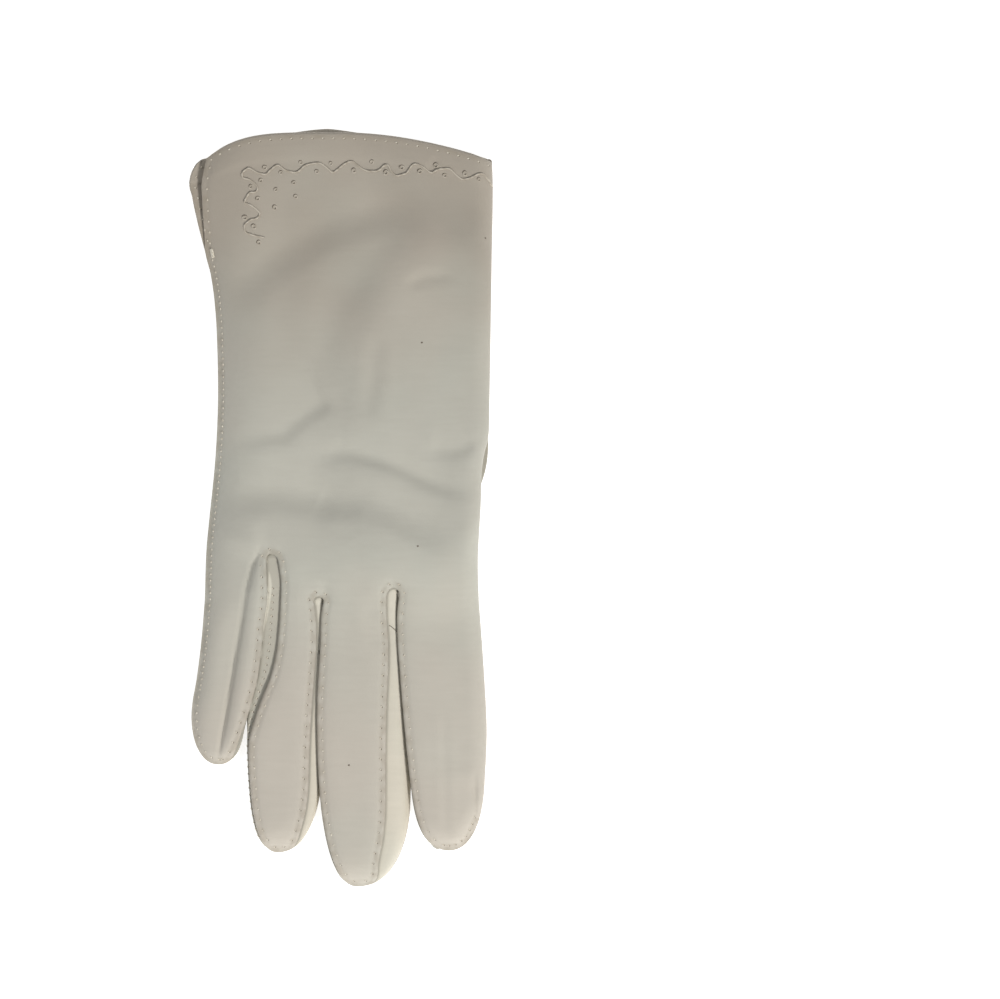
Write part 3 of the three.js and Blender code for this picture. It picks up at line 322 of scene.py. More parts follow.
def fold_depth(x, y):
    """How far all the folds together lower the back at each place."""
    total = np.zeros(np.shape(x))
    for fold in FOLDS:
        distance, side, run = away_from(fold["line"], x, y)
        fade = quarter_round(np.minimum(run, 1 - run) * 5 + 0.15)
        total += fold["depth"] * np.exp(-((distance / fold["width"]) ** 2)) * fade
        if "step" in fold:
            left = side * distance
            lowered = ease(-1, 1, left / fold["width"]) * np.exp(-((left / fold["reach"]) ** 2))
            if "sharp" in fold:
                run_out = np.clip(1 + left / fold["sharp"], 0, 1) ** 2
                lowered = run_out * np.exp(-((np.maximum(left, 0) / fold["reach"]) ** 2))
            total += fold["step"] * lowered * ease(0, fold.get("fade", 0.2), np.minimum(run, 1 - run))
        beside = (distance - 1.9 * fold["width"]) / fold["width"]
        total -= fold["swell"] * np.exp(-(beside**2)) * fade
    return total


def ripple(x, y):
    """The faint unevenness of cloth that has been washed and worn."""
    points = np.stack([np.ravel(x), np.ravel(y)], axis=1)
    slow = [noise.noise(Vector((px / 26, py / 30, 3.1))) for px, py in points]
    quick = [noise.noise(Vector((px / 9, py / 13, 8.7))) for px, py in points]
    return (0.5 * np.array(slow) + 0.14 * np.array(quick)).reshape(np.shape(x))


print(len(FOLDS), "folds")

# %% [markdown]
# ## Heights
# The palm lies flat on the table except over the thumb, which is folded under it. The back stands
# a hand's hollow above it. Both are plain functions of a place, so any piece can ask how high the
# cloth is under it.

# %% The thumb's place under the palm
THUMB_WIDTH = 28.0
THUMB_HOLLOW = 4.5
THUMB_TIP_LENGTH = 15.0
THUMB_BASE_LENGTH = 13.0
THUMB_RUN = 5.0
THUMB_HOLE = {"down": 36.0, "long": 50.0, "wide": 15.0}
PALM_DRAPE = 11.0
BACK_DRAPE = 27.0
DRAPE_MARGIN = 2.5
HOLLOW_OVER_THUMB = 4.8
THUMB_THICKNESS = THUMB_HOLLOW + TWO_WALLS
THUMB_CLEARANCE = 0.3
THUMB_LINE = {
    "along": [0.315, 0.47, 0.62, 0.7, 0.77, 0.84],
    "across": [0.4, 0.383, 0.375, 0.37, 0.335, 0.29],
    "width": [0.84, 1.0, 1.0, 1.0, 0.92, 0.82],
}


def thumb_line(count):
    """The thumb's middle line from its wrist end to its tip: x, y, half width and length so far."""
    along = np.linspace(THUMB_LINE["along"][0], THUMB_LINE["along"][-1], count)
    x = read(THUMB_LINE, "across", along) * KNUCKLE_WIDTH
    y = (1 - along) * HAND_LENGTH
    half = read(THUMB_LINE, "width", along) * THUMB_WIDTH / 2
    length = np.concatenate([[0], np.cumsum(np.hypot(np.diff(x), np.diff(y)))])
    return x, y, half, length


THUMB_X, THUMB_Y, THUMB_HALF, THUMB_AT = thumb_line(60)
THUMB_LENGTH = THUMB_AT[-1]


def outside_thumb(x, y):
    """How far inside (below 0) or outside the thumb's outline a place is."""
    ends = np.minimum(quarter_round((THUMB_LENGTH - THUMB_AT) / THUMB_TIP_LENGTH),
                      quarter_round(THUMB_AT / THUMB_BASE_LENGTH))
    nearest = np.full(np.shape(x), 1e9)
    for px, py, half in zip(THUMB_X, THUMB_Y, THUMB_HALF * ends):
        nearest = np.minimum(nearest, np.hypot(x - px, y - py) - half)
    return nearest


print("thumb length", round(float(THUMB_LENGTH), 1))

# %% [markdown]
# ## How high the cloth lies
# Over the folded thumb the palm is lifted, and the back with it, over a wider slope because it
# hangs from further up. Away from the thumb the palm lies on the table. A cloth simulation could
# find such slopes, but the glove lies flat and still, so a smooth step is enough and is repeatable.

# %% Heights of the palm and the back
def palm_under(x, y):
    lift = 1 - ease(0, PALM_DRAPE, outside_thumb(x, y) - DRAPE_MARGIN)
    return (THUMB_THICKNESS + THUMB_CLEARANCE) * lift


def back_top(x, y):
    hollow = mix(FINGER_HOLLOW, HAND_HOLLOW, ease(-KNUCKLE_EASE, KNUCKLE_EASE, y))
    lift = THUMB_THICKNESS + THUMB_CLEARANCE + HOLLOW_OVER_THUMB - hollow
    over_thumb = 1 - ease(0, BACK_DRAPE, outside_thumb(x, y) - DRAPE_MARGIN)
    raised = np.maximum(lift, 0) * over_thumb
    return TWO_WALLS + hollow + raised - fold_depth(x, y) + ripple(x, y)


# %% [markdown]
# ## Laying out the cloth
# Each finger's strip is a grid that starts at the cuff and ends on the rounded arch of the
# fingertip. In the hand the strips share their edges, and below a crotch they part. A sewn edge
# comes down to a narrow flat fin where back and palm lie on each other, and the index side is a
# fold, where the cloth turns round without a seam. The grid is close at the edges, where the
# cloth turns, and wide in the middle.

# %% Rows and columns of a strip
EDGE_ROUND = 0.85  # radius that the cuff's hem turns round
BACK_COLUMNS, PALM_COLUMNS = 39, 15
TIP_ROWS = 17
VENT_CURL = 2.4  # height that the palm's free corner at the vent curls up
VENT_CURL_RUN = 12
ROW_STEP = 1.35  # distance between rows
HEM_RISE = 0.3  # the hem under the back lifts it this much
HEM_BLEND = 0.8
TIP_CLOSED = (58, 86)  # degrees of a fingertip's arch over which its sides close
TIP_SEWN = (40, 89)  # over which the outlines of back and palm come together
TIP_UNFOLDS = (10, 55)  # and over which the index side's fold turns into a seam
TIP_RISE = {"run": 16, "power": 5}  # how far and how fully the cloth rises behind a fingertip


def hand_rows():
    """The rows that all strips share, from just inside the cuff's edge to the last crotch."""
    near_crotch = [0, 0.02, 0.08, 0.2, 0.38, 0.62, 1]
    fixed = [CROTCH[k] - s * CROTCH_RADIUS[k] for k in range(3) for s in near_crotch]
    hem = list(HAND_LENGTH - np.linspace(EDGE_ROUND, HEM_DEPTH, 7))
    low = min(fixed)
    free = np.arange(HAND_LENGTH - HEM_DEPTH - 0.7, low, -ROW_STEP)
    free = [y for y in free if min(abs(y - f) for f in fixed) > 0.45]
    return np.array(sorted({round(y, 5) for y in [*fixed, *hem, *free]}, reverse=True))


HAND_ROWS = hand_rows()


def strip_rows(index):
    """y and tip angle (0 before the tip) of each row of one finger's strip."""
    start = -LENGTH[index] + TIP_LENGTH[index]
    count = int(round((HAND_ROWS[-1] - start) / ROW_STEP))
    straight = np.linspace(HAND_ROWS[-1], start, count + 1)[1:]
    angles = np.radians(90 * (np.arange(1, TIP_ROWS + 1) / TIP_ROWS) ** 0.9)
    tip = start - TIP_LENGTH[index] * np.sin(angles)
    y = np.concatenate([HAND_ROWS, straight, tip])
    angle = np.concatenate([np.zeros(len(HAND_ROWS) + len(straight)), angles])
    return y, angle


def columns(count):
    """Shares of a strip's width, closer together at both edges."""
    even = np.linspace(0, 1, count)
    return 0.12 * even + 0.88 * (0.5 - 0.5 * np.cos(np.pi * even))


def soft_round(share):
    """How cloth swells up beside a seam: steep at first and flat at the end."""
    return 1 - (1 - np.clip(share, 0, 1)) ** 2.3


def gap_outline(index, sheet, side):
    """One side of a gap as a line, from its crotch to past the fingertips."""
    radii = np.array([0, 0.005, 0.02, 0.05, 0.1, 0.2, 0.35, 0.55, 0.8, 1])
    y = np.concatenate([CROTCH[index] - radii * CROTCH_RADIUS[index],
                        np.arange(CROTCH[index] - CROTCH_RADIUS[index] - 2, -FINGER_LENGTH, -2.5)])
    return np.column_stack([slit_side(index, y, sheet, side), y])


def rolled(closed, distance):
    """How far the back is down beside a gap, where its edge rolls over."""
    return (1 - closed)[:, None] * (1 - quarter_round(distance / CROWN_RUN))


print(len(HAND_ROWS), "rows in the hand")

# %% [markdown]
# ## One strip of the trank
# On the real glove each finger's back and palm are cut as one tongue of the trank. Here it is one
# grid from cuff to fingertip: its outline comes from the tables and its height from the functions
# above. It comes down to a fin where it is sewn, and the stitches pull a groove along the edge.

# %% The back or the palm of one finger's strip
def strip_grid(index, sheet):
    """Outer face of one strip as rows of points, with the distance to its sewn edges."""
    y, angle = strip_rows(index)
    degrees = np.degrees(angle)
    tip_closed = ease(*TIP_CLOSED, degrees)
    tip_sewn = ease(*TIP_SEWN, degrees)
    hand_closed = read(VENT_SIDE, "closed", 1 - y / HAND_LENGTH)
    closed_left = np.maximum(hand_closed, tip_closed) if index == 0 else tip_closed
    closed_right = np.ones_like(y) if index == 3 else tip_closed
    folded = 1 - ease(*TIP_UNFOLDS, degrees) if index == 3 else np.zeros_like(y)
    own = strip_edges(index, y, sheet)
    other = strip_edges(index, y, "palm" if sheet == "back" else "back")
    left = mix(own[0], np.minimum(own[0], other[0]), tip_sewn)
    right = mix(own[1], np.maximum(own[1], other[1]), tip_sewn)
    arch = (1 - np.sin(angle) ** TIP_ROUNDNESS).clip(0) ** (1 / TIP_ROUNDNESS)
    roots = [boundary(k, np.zeros(1), sheet)[0] for k in (index, index + 1)]
    tip_x = sum(roots) / 2 + TIP_ACROSS[index]
    left, right = tip_x + (left - tip_x) * arch, tip_x + (right - tip_x) * arch

    share = columns(BACK_COLUMNS if sheet == "back" else PALM_COLUMNS)
    x = left[:, None] + (right - left)[:, None] * share[None, :]
    y2 = np.repeat(y[:, None], len(share), axis=1)
    column = lambda values: np.asarray(values)[:, None]
    from_left, from_right = x - left[:, None], right[:, None] - x
    to_tip = column(np.where(angle > 0, TIP_LENGTH[index] * (1 - np.sin(angle)), 1e6))

    palm, back = palm_under(x, y2), back_top(x, y2)
    in_hand = ease(-KNUCKLE_EASE, KNUCKLE_EASE, y) if index == 0 else np.zeros_like(y)
    left_run = column(mix(0.9 * TIP_RUN, 2 * VENT_RUN, in_hand))
    right_run = column(mix(0.7 * TIP_RUN, FOLD_RUN, folded))
    fin_left = FIN / 3 * column(closed_left)
    fin_right = FIN / 3 * column((1 - folded) * closed_right)
    rise_left = 1 - column(closed_left) * (1 - soft_round((from_left - fin_left) / left_run))
    round_right = mix(soft_round((from_right - fin_right) / right_run),
                      quarter_round(from_right / right_run), column(folded))
    rise_right = 1 - column(closed_right) * (1 - round_right)
    rise_tip = 1 - (1 - np.clip((to_tip - FIN / 3) / TIP_RISE["run"], 0, 1)) ** TIP_RISE["power"]
    rise = rise_left * rise_right * rise_tip

    # Beside an open gap the finger's back is a little lower, like the crown of a cushion.
    sag = np.zeros_like(x)
    if index > 0:
        to_gap = away_from(gap_outline(index - 1, sheet, "right"), x, y2)[0]
        gap_left = np.where(column(angle) > 0, from_left, to_gap)
        sag = np.maximum(sag, rolled(closed_left, gap_left))
    if index < 3:
        to_gap = away_from(gap_outline(index, sheet, "left"), x, y2)[0]
        gap_right = np.where(column(angle) > 0, from_right, to_gap)
        sag = np.maximum(sag, rolled(closed_right, gap_right))
    hem_step = HEM_RISE * (1 - ease(HEM_DEPTH - HEM_BLEND, HEM_DEPTH + HEM_BLEND, HAND_LENGTH - y2))
    top = back - FINGER_CROWN * sag + hem_step

    middle = (palm + back) / 2
    near_fold = column(folded) * (from_right < from_left)
    if sheet == "back":
        z = mix(mix(palm + 2 * CLOTH + LAYER_GAP, middle, near_fold), top, rise)
    else:
        z = mix(mix(palm, middle, near_fold), palm, quarter_round(from_right / (FOLD_RUN / 2)))
        if index == 0:  # the free corner of the palm curls up a little under the back
            z = z + VENT_CURL * 2 * (1 - column(hand_closed)) * (1 - ease(0, VENT_CURL_RUN, from_left))

    # Seams: which edges carry stitches, and how far each point is from the nearest one.
    hem_off = HAND_LENGTH - y2
    sewn_fold = np.where(column(folded) < 0.5, from_right, 50)
    inside = np.minimum(gap_left if index > 0 else from_left, gap_right if index < 3 else sewn_fold)
    inside = np.minimum(inside, to_tip)
    inside = np.minimum(inside, hem_off)
    groove = GROOVE * np.exp(-(((inside - SEAM_IN) / GROOVE_WIDTH) ** 2))
    turned = EDGE_TURN["by"] * (1 - quarter_round(inside / EDGE_TURN["within"]))
    z = z + (groove + turned) * (1 if sheet == "palm" else -1)

    points = np.stack([x, bent_to_cuff(x, y2, sheet), z], axis=2)
    return {"points": points, "inside": inside, "y": y, "left_closed": closed_left,
            "right_closed": closed_right, "folded": folded, "angle": angle}


def bent_to_cuff(x, y, sheet):
    """Moves the rows near the cuff onto its curved edge."""
    edge = CUFF_EDGE[sheet]
    left, right = (float(v) for v in hand_sides(HAND_LENGTH, sheet))
    peak = edge["peak"] * KNUCKLE_WIDTH
    to_vent = np.clip((peak - x) / (peak - left), 0, 1)
    to_fold = np.clip((x - peak) / (right - peak), 0, 1)
    drop = edge["vent"] * to_vent ** edge["vent_power"] + edge["fold"] * to_fold ** edge["fold_power"]
    return y + (edge["rise"] - drop) * HAND_LENGTH * (1 - ease(HEM_DEPTH, CUFF_EASE, HAND_LENGTH - y))


STRIPS = {sheet: [strip_grid(k, sheet) for k in range(4)] for sheet in ("back", "palm")}
print("grid points", sum(strip["points"][..., 0].size for both in STRIPS.values() for strip in both))


# %% [markdown]
# ## From grids to a mesh
# A mesh is a list of corners and a list of faces. Here each grid gives a four-sided face for each
# of its cells, corners at the same place are made one, and the whole is handed to Blender at once.

# %% Helpers that make a mesh from grids
WELD_GRID = 0.012  # corners in the same cell of this size become one


def grid_faces(rows, cols, start, flip):
    a = start + np.arange(rows - 1)[:, None] * cols + np.arange(cols - 1)[None, :]
    quads = np.stack([a, a + cols, a + cols + 1, a + 1], axis=-1).reshape(-1, 4)
    return quads[:, ::-1] if flip else quads


def weld(points, faces, values):
    """Makes corners at the same place one, and drops faces that have shrunk to a line."""
    key = np.round(points / WELD_GRID).astype(np.int64)
    _, first, back = np.unique(key, axis=0, return_index=True, return_inverse=True)
    faces = back.reshape(-1)[faces]
    kept = []
    for face in faces.tolist():
        corners = [v for i, v in enumerate(face) if v != face[i - 1]]
        if len(set(corners)) >= 3 and len(set(corners)) == len(corners):
            kept.append(corners)
    return points[first], kept, values[first]


def corner_normals(points, faces):
    normals = np.zeros_like(points)
    for face in faces:
        a, b, c = points[face[0]], points[face[1]], points[face[2]]
        d = points[face[3]] if len(face) == 4 else a
        n = np.cross(c - a, d - b) if len(face) == 4 else np.cross(b - a, c - a)
        for v in face:
            normals[v] += n
    length = np.linalg.norm(normals, axis=1, keepdims=True)
    return normals / np.maximum(length, 1e-12)


def to_frame(points):
    """Millimetres on the glove to metres in the frame."""
    return (np.asarray(points) + GLOVE_TO_FRAME) * MM


def new_piece(name, points, faces, values=None):
    mesh = bpy.data.meshes.new(name)
    mesh.from_pydata(to_frame(points).tolist(), [], faces)
    if values is not None:
        mesh.attributes.new("seam_distance", "FLOAT", "POINT").data.foreach_set("value", values)
    mesh.validate()
    for polygon in mesh.polygons:
        polygon.use_smooth = True
    piece = bpy.data.objects.new(name, mesh)
    bpy.context.scene.collection.objects.link(piece)
    return piece


def applied(piece):
    """Bakes the modifiers into the mesh, as the Apply button does."""
    bpy.ops.object.select_all(action="DESELECT")
    bpy.context.view_layer.objects.active = piece
    piece.select_set(True)
    for modifier in list(piece.modifiers):
        bpy.ops.object.modifier_apply(modifier=modifier.name)
    piece.select_set(False)
    return piece


def thickened(piece, thickness):
    wall = piece.modifiers.new("wall", "SOLIDIFY")
    wall.thickness = thickness * MM
    wall.offset = -1
    wall.use_even_offset = False
    return applied(piece)


def tree_of(piece):
    """A piece as something that rays can be sent at, in millimetres on the glove."""
    off = Vector(GLOVE_TO_FRAME)
    corners = [v.co / MM - off for v in piece.data.vertices]
    return BVHTree.FromPolygons(corners, [tuple(p.vertices) for p in piece.data.polygons])


# %% [markdown]
# ## The trank
# Back, palm and four fingers are one piece of cloth. The cuff is hemmed: the cloth is turned in
# round its edge and sewn down, so the mesh does the same. The rows next to the cuff are copied on
# the inside and joined to the outside by a small half circle.

# %% The trank with its turned-in hem
HEM_TAPER = {"share": 0.54, "run": 7}  # the turned-in layer gets this shallow at the vent's open edge


def sheet_with_hem():
    grids, start, faces, values, points = [], 0, [], [], []
    for sheet in ("back", "palm"):
        for strip in STRIPS[sheet]:
            grids.append((sheet, strip))
    for sheet, strip in grids:
        rows, cols, _ = strip["points"].shape
        faces += grid_faces(rows, cols, start, sheet == "palm").tolist()
        points.append(strip["points"].reshape(-1, 3))
        values.append(strip["inside"].reshape(-1))
        start += rows * cols
    outer, outer_faces, _ = weld(np.concatenate(points), np.array(faces), np.concatenate(values))
    normals = corner_normals(outer, outer_faces)
    cells = np.round(outer / WELD_GRID).astype(np.int64).tolist()
    lookup = {tuple(cell): normal for cell, normal in zip(cells, normals)}

    depth = 2 * EDGE_ROUND
    hem_count = int((HAND_LENGTH - HAND_ROWS <= HEM_DEPTH + 1e-6).sum())
    for sheet, strip in grids:
        own = strip["points"][:hem_count]
        turn_in = np.ones(own.shape[:2])
        if strip is STRIPS[sheet][0]:
            from_vent = own[:, :, 0] - own[:, :1, 0]
            turn_in = mix(HEM_TAPER["share"], 1, ease(0, HEM_TAPER["run"], from_vent))
        keys = np.round(own / WELD_GRID).astype(np.int64)
        normal = np.array([[lookup[tuple(k)] for k in row] for row in keys.tolist()])
        inner = own[::-1] - depth * turn_in[::-1, :, None] * normal[::-1]
        first, turn, radius = own[0], normal[0], EDGE_ROUND * turn_in[0][:, None]
        ring = []
        for angle in (135, 90, 45):
            a = math.radians(angle)
            centre = first - radius * turn
            ring.append(centre + radius * (math.cos(a) * turn + math.sin(a) * np.array([0, 1, 0])))
        hem = np.concatenate([inner, np.array(ring), own[:1]])
        rows, cols, _ = hem.shape
        faces += grid_faces(rows, cols, start, sheet == "palm").tolist()
        points.append(hem.reshape(-1, 3))
        values.append(np.full(rows * cols, 50.0))
        start += rows * cols
    return weld(np.concatenate(points), np.array(faces), np.concatenate(values))


def in_thumb_hole(points):
    """How far out a place is in the ellipse of the thumb's hole: 1 is on its edge."""
    x, y = np.interp(THUMB_HOLE["down"], THUMB_AT, THUMB_X), np.interp(THUMB_HOLE["down"], THUMB_AT, THUMB_Y)
    ahead = np.interp(THUMB_HOLE["down"] + 1, THUMB_AT, THUMB_X) - x
    run = np.array([ahead, -math.sqrt(1 - ahead * ahead)])
    off = points[:, :2] - [x, y]
    along, across = off @ run, off @ np.array([-run[1], run[0]])
    return np.hypot(along / (THUMB_HOLE["long"] / 2), across / (THUMB_HOLE["wide"] / 2))


def without_hole(points, faces, is_on):
    """Leaves out the faces whose middle is inside the thumb's hole."""
    out = in_thumb_hole(points)
    return [face for face in faces if not (is_on[face[0]] and np.mean(out[face]) < 1)]


cloth_points, cloth_faces, cloth_seam = sheet_with_hem()
facing_down = corner_normals(cloth_points, cloth_faces)[:, 2] < -0.3
cloth_faces = without_hole(cloth_points, cloth_faces, facing_down)
trank = new_piece("trank_cloth", cloth_points, cloth_faces, cloth_seam)
thickened(trank, CLOTH)
outer_tree = tree_of(trank)
print("trank", len(trank.data.vertices), "corners", len(trank.data.polygons), "faces")

# %% [markdown]
# ## The fourchettes
# A fourchette is a narrow strip that runs down one finger, round the crotch and down the next. Its
# long edges lie under the edge of the back and on the edge of the palm, where they are stitched.
# Its cross-section is a shallow channel: a flange, a wall that bulges a little, and a flange.

# %% One fourchette
FLANGE = 2.6
BULGE = 0.5
SHELF_POWER = [8, 4.5, 4.5]  # the higher, the longer a wall stays up before it comes down
STILL_OPEN = 0.985  # a gap's rows count as open until their edges are closed this far


def gap_edges(index, sheet):
    """Both edges of a gap as one line, with the way into the cloth: down, round the crotch, up."""
    def side(strip, column, closed):
        open_rows = (strip["y"] <= CROTCH[index] + 1e-6) & (strip[closed] < STILL_OPEN)
        return strip["points"][open_rows, column]
    left = side(STRIPS[sheet][index], -1, "right_closed")
    right = side(STRIPS[sheet][index + 1], 0, "left_closed")
    line = np.concatenate([left[::-1], right[1:]])
    ahead = np.gradient(line[:, :2], axis=0)
    inward = np.stack([-ahead[:, 1], ahead[:, 0]], axis=1)
    inward /= np.maximum(np.linalg.norm(inward, axis=1, keepdims=True), 1e-9)
    return line, inward


def pale_part(index, points, back):
    """How far each place is inside the pale part of the strip: the rest is painted grey as shade."""
    x, y = points[:, 0], points[:, 1]
    if index > 0:
        return away_from(back[:, :2], x, y)[0]
    distance, _, run = away_from(spots((269.5, 570), (270, 585), (268, 600), (266, 614), (263, 632)), x, y)
    return 0.5 + 0.8 * np.sin(np.pi * run) ** 0.6 - distance


def fourchette(index):
    back, back_in = gap_edges(index, "back")
    palm, palm_in = gap_edges(index, "palm")
    lap = CLOTH + LAYER_GAP
    height = np.maximum(back[:, 2] - palm[:, 2] - 2 * lap, 0.02)
    lap_down = np.minimum(lap, (back[:, 2] - palm[:, 2]) / 2 - 0.01)
    side_of = lambda line, inward, depth, z: np.column_stack([line[:, :2] + inward * depth, z])
    top_z, low_z = back[:, 2] - lap_down, palm[:, 2] + lap_down
    rows = [side_of(back, back_in, FLANGE, top_z), side_of(back, back_in, FLANGE / 2, top_z),
            side_of(back, back_in, 0.3, top_z)]
    for share in (0.06, 0.2, 0.35, 0.5, 0.63, 0.74, 0.83, 0.9, 0.96):
        place = mix(back[:, :2], palm[:, :2], share)
        inward = mix(back_in, palm_in, share)
        out = BULGE * math.sin(math.pi * share) * np.minimum(height / 3, 1)
        z = mix(top_z, low_z, share ** SHELF_POWER[index])
        rows.append(np.column_stack([place - inward * out[:, None], z]))
    rows += [side_of(palm, palm_in, 0.3, low_z), side_of(palm, palm_in, FLANGE / 2, low_z),
             side_of(palm, palm_in, FLANGE, low_z)]
    grid = np.array(rows)
    points = grid.reshape(-1, 3)
    faces = grid_faces(grid.shape[0], grid.shape[1], 0, False)
    points, faces, values = weld(points, faces, pale_part(index, points, back))
    piece = new_piece(f"{SLITS[index]['name']}_cloth", points, faces, values)
    return thickened(piece, STRIP_CLOTH), grid


fourchettes = []
fourchette_grids = []
for k in range(3):
    made, laid = fourchette(k)
    fourchettes.append(made)
    fourchette_grids.append(laid)
print("fourchettes", [len(piece.data.polygons) for piece in fourchettes])

# %% [markdown]
# ## The thumb
# The thumb is a flat pouch that hangs from its hole in the palm and is folded under the hand, so
# only its outer edge shows from above. Its two layers are sewn round the outside.

# %% The thumb's pouch
def thumb_grid(top):
    angles = np.radians([90, 78, 66, 54, 43, 33, 24, 15, 7])
    base = THUMB_BASE_LENGTH * (1 - np.sin(angles))
    tip = (THUMB_LENGTH - THUMB_TIP_LENGTH * (1 - np.sin(angles)))[::-1]
    lengths = np.concatenate([base, np.linspace(THUMB_BASE_LENGTH, THUMB_LENGTH - THUMB_TIP_LENGTH, 34), tip])
    x, y = np.interp(lengths, THUMB_AT, THUMB_X), np.interp(lengths, THUMB_AT, THUMB_Y)
    half = np.interp(lengths, THUMB_AT, THUMB_HALF)
    dx, dy = np.gradient(THUMB_X), np.gradient(THUMB_Y)
    dx, dy = np.interp(lengths, THUMB_AT, dx), np.interp(lengths, THUMB_AT, dy)
    size = np.hypot(dx, dy)
    arch = np.minimum(quarter_round((THUMB_LENGTH - lengths) / THUMB_TIP_LENGTH),
                      quarter_round(lengths / THUMB_BASE_LENGTH))
    offset = (2 * columns(25) - 1)[None, :] * (half * arch)[:, None]
    px = x[:, None] - dy[:, None] / size[:, None] * offset
    py = y[:, None] + dx[:, None] / size[:, None] * offset
    to_edge = (half * arch)[:, None] - np.abs(offset)
    to_end = np.minimum(THUMB_LENGTH - lengths, lengths)[:, None]
    inside = np.minimum(to_edge, to_end)
    rise = soft_round((to_edge - FIN) / THUMB_RUN) * soft_round((to_end - FIN) / THUMB_RUN)
    groove = GROOVE * np.exp(-(((inside - SEAM_IN) / GROOVE_WIDTH) ** 2))
    if top:
        z = mix(2 * CLOTH + LAYER_GAP, THUMB_THICKNESS, rise) - groove
    else:
        z = groove
    return np.stack([px, py, z], axis=2), inside


thumb_points, thumb_faces, thumb_seam, count = [], [], [], 0
for top in (True, False):
    grid, inside = thumb_grid(top)
    thumb_faces += grid_faces(grid.shape[0], grid.shape[1], count, not top).tolist()
    thumb_points.append(grid.reshape(-1, 3))
    thumb_seam.append(inside.reshape(-1))
    count += grid.shape[0] * grid.shape[1]
thumb_points, thumb_faces, thumb_seam = weld(
    np.concatenate(thumb_points), np.array(thumb_faces), np.concatenate(thumb_seam))
facing = corner_normals(thumb_points, thumb_faces)[:, 2]
if facing[thumb_points[:, 2].argmax()] < 0:
    thumb_faces = [face[::-1] for face in thumb_faces]
    facing = -facing
thumb_faces = without_hole(thumb_points, thumb_faces, facing > 0.3)
thumb = new_piece("thumb_cloth", thumb_points, thumb_faces, thumb_seam)
thickened(thumb, CLOTH)
thumb_tree = tree_of(thumb)
print("thumb", len(thumb.data.polygons), "faces")

# %% [markdown]
# ## Embroidery
# The vine is a thin cord laid on the cloth and sewn down. It is drawn as one smooth curve through
# places read off the picture, set on the back's own height, and given a round section. A thin
# darker tube along its upper side, towards the cuff, is the cord's painted shadow.

# %% The vine
CORD_RADIUS = 0.31
VINE = spots(
    (265, 238), (256, 236), (247, 233), (244.5, 229), (245, 225), (251, 220), (256, 219), (259.5, 216),
    (259, 212), (252, 206), (245, 203), (246, 199), (250, 193), (255, 192.5), (257.5, 190), (257, 186),
    (250, 180), (243, 178), (242.5, 173.5), (246, 170), (250, 168.5), (258, 173), (266, 174.5),
    (271, 170), (278, 165.5), (285, 170), (291, 172.2), (298, 172), (305, 166), (312, 164), (320, 163.5),
    (327, 168), (333, 172.5), (338, 169.5), (345, 164), (352, 161.5), (357, 165), (364, 170),
    (372, 171.5), (379, 170.5), (384, 166), (388, 165.5), (391, 171), (396, 176), (402, 175),
    (407, 173), (412, 166), (417, 164.5), (424, 168), (431, 173), (438, 170), (446, 169), (451, 170),
    (457, 176), (463, 179.5), (471, 178), (479, 174.2), (484, 175), (489, 181), (493.5, 189),
)


def height_on(x, y, below=False, tree=None):
    """Place and facing of the cloth's outer face at a place on the glove."""
    start = Vector((x, y, -20 if below else 40))
    hit, normal, _, _ = (tree or outer_tree).ray_cast(start, Vector((0, 0, 1 if below else -1)))
    return hit, normal


def smooth_line(points, step):
    """Evenly spaced points on a smooth curve through some places."""
    p = np.asarray(points, float)
    p = np.concatenate([2 * p[:1] - p[1:2], p, 2 * p[-1:] - p[-2:-1]])
    fine = []
    for a, b, c, d in zip(p[:-3], p[1:-2], p[2:-1], p[3:]):
        t = np.linspace(0, 1, 12, endpoint=False)[:, None]
        bend, twist = 2 * a - 5 * b + 4 * c - d, 3 * b - a - 3 * c + d
        fine.append(0.5 * (2 * b + (c - a) * t + bend * t**2 + twist * t**3))
    fine = np.concatenate([*fine, p[-2:-1]])
    return evenly(fine, step)


def evenly(line, step):
    length = np.concatenate([[0], np.cumsum(np.linalg.norm(np.diff(line, axis=0), axis=1))])
    at = np.linspace(0, length[-1], max(int(round(length[-1] / step)), 1) + 1)
    return np.stack([np.interp(at, length, line[:, k]) for k in range(line.shape[1])], axis=1)


def tube(name, centres, radius, sides):
    """A closed tube along a line of points, with rounded ends."""
    centres = np.asarray(centres)
    ahead = np.gradient(centres, axis=0)
    ahead /= np.linalg.norm(ahead, axis=1, keepdims=True)
    side = np.cross(ahead, [0, 0, 1.0])
    side /= np.linalg.norm(side, axis=1, keepdims=True)
    up = np.cross(side, ahead)
    sizes = np.ones(len(centres))
    sizes[[0, -1]] = 0.35
    points = []
    for k in range(sides):
        a = 2 * math.pi * k / sides
        points.append(centres + (radius * sizes)[:, None] * (math.cos(a) * side + math.sin(a) * up))
    grid = np.array(points + [points[0]]).transpose(1, 0, 2)
    n = len(centres)
    faces = grid_faces(n, sides + 1, 0, True).tolist()
    faces += [list(range(sides)), [(n - 1) * (sides + 1) + k for k in range(sides)][::-1]]
    verts = grid.reshape(-1, 3)
    keep = {i * (sides + 1) + sides: i * (sides + 1) for i in range(n)}
    faces = [[keep.get(v, v) for v in face] for face in faces]
    used = sorted({v for face in faces for v in face})
    place = {v: i for i, v in enumerate(used)}
    return new_piece(name, verts[used], [[place[v] for v in face] for face in faces])


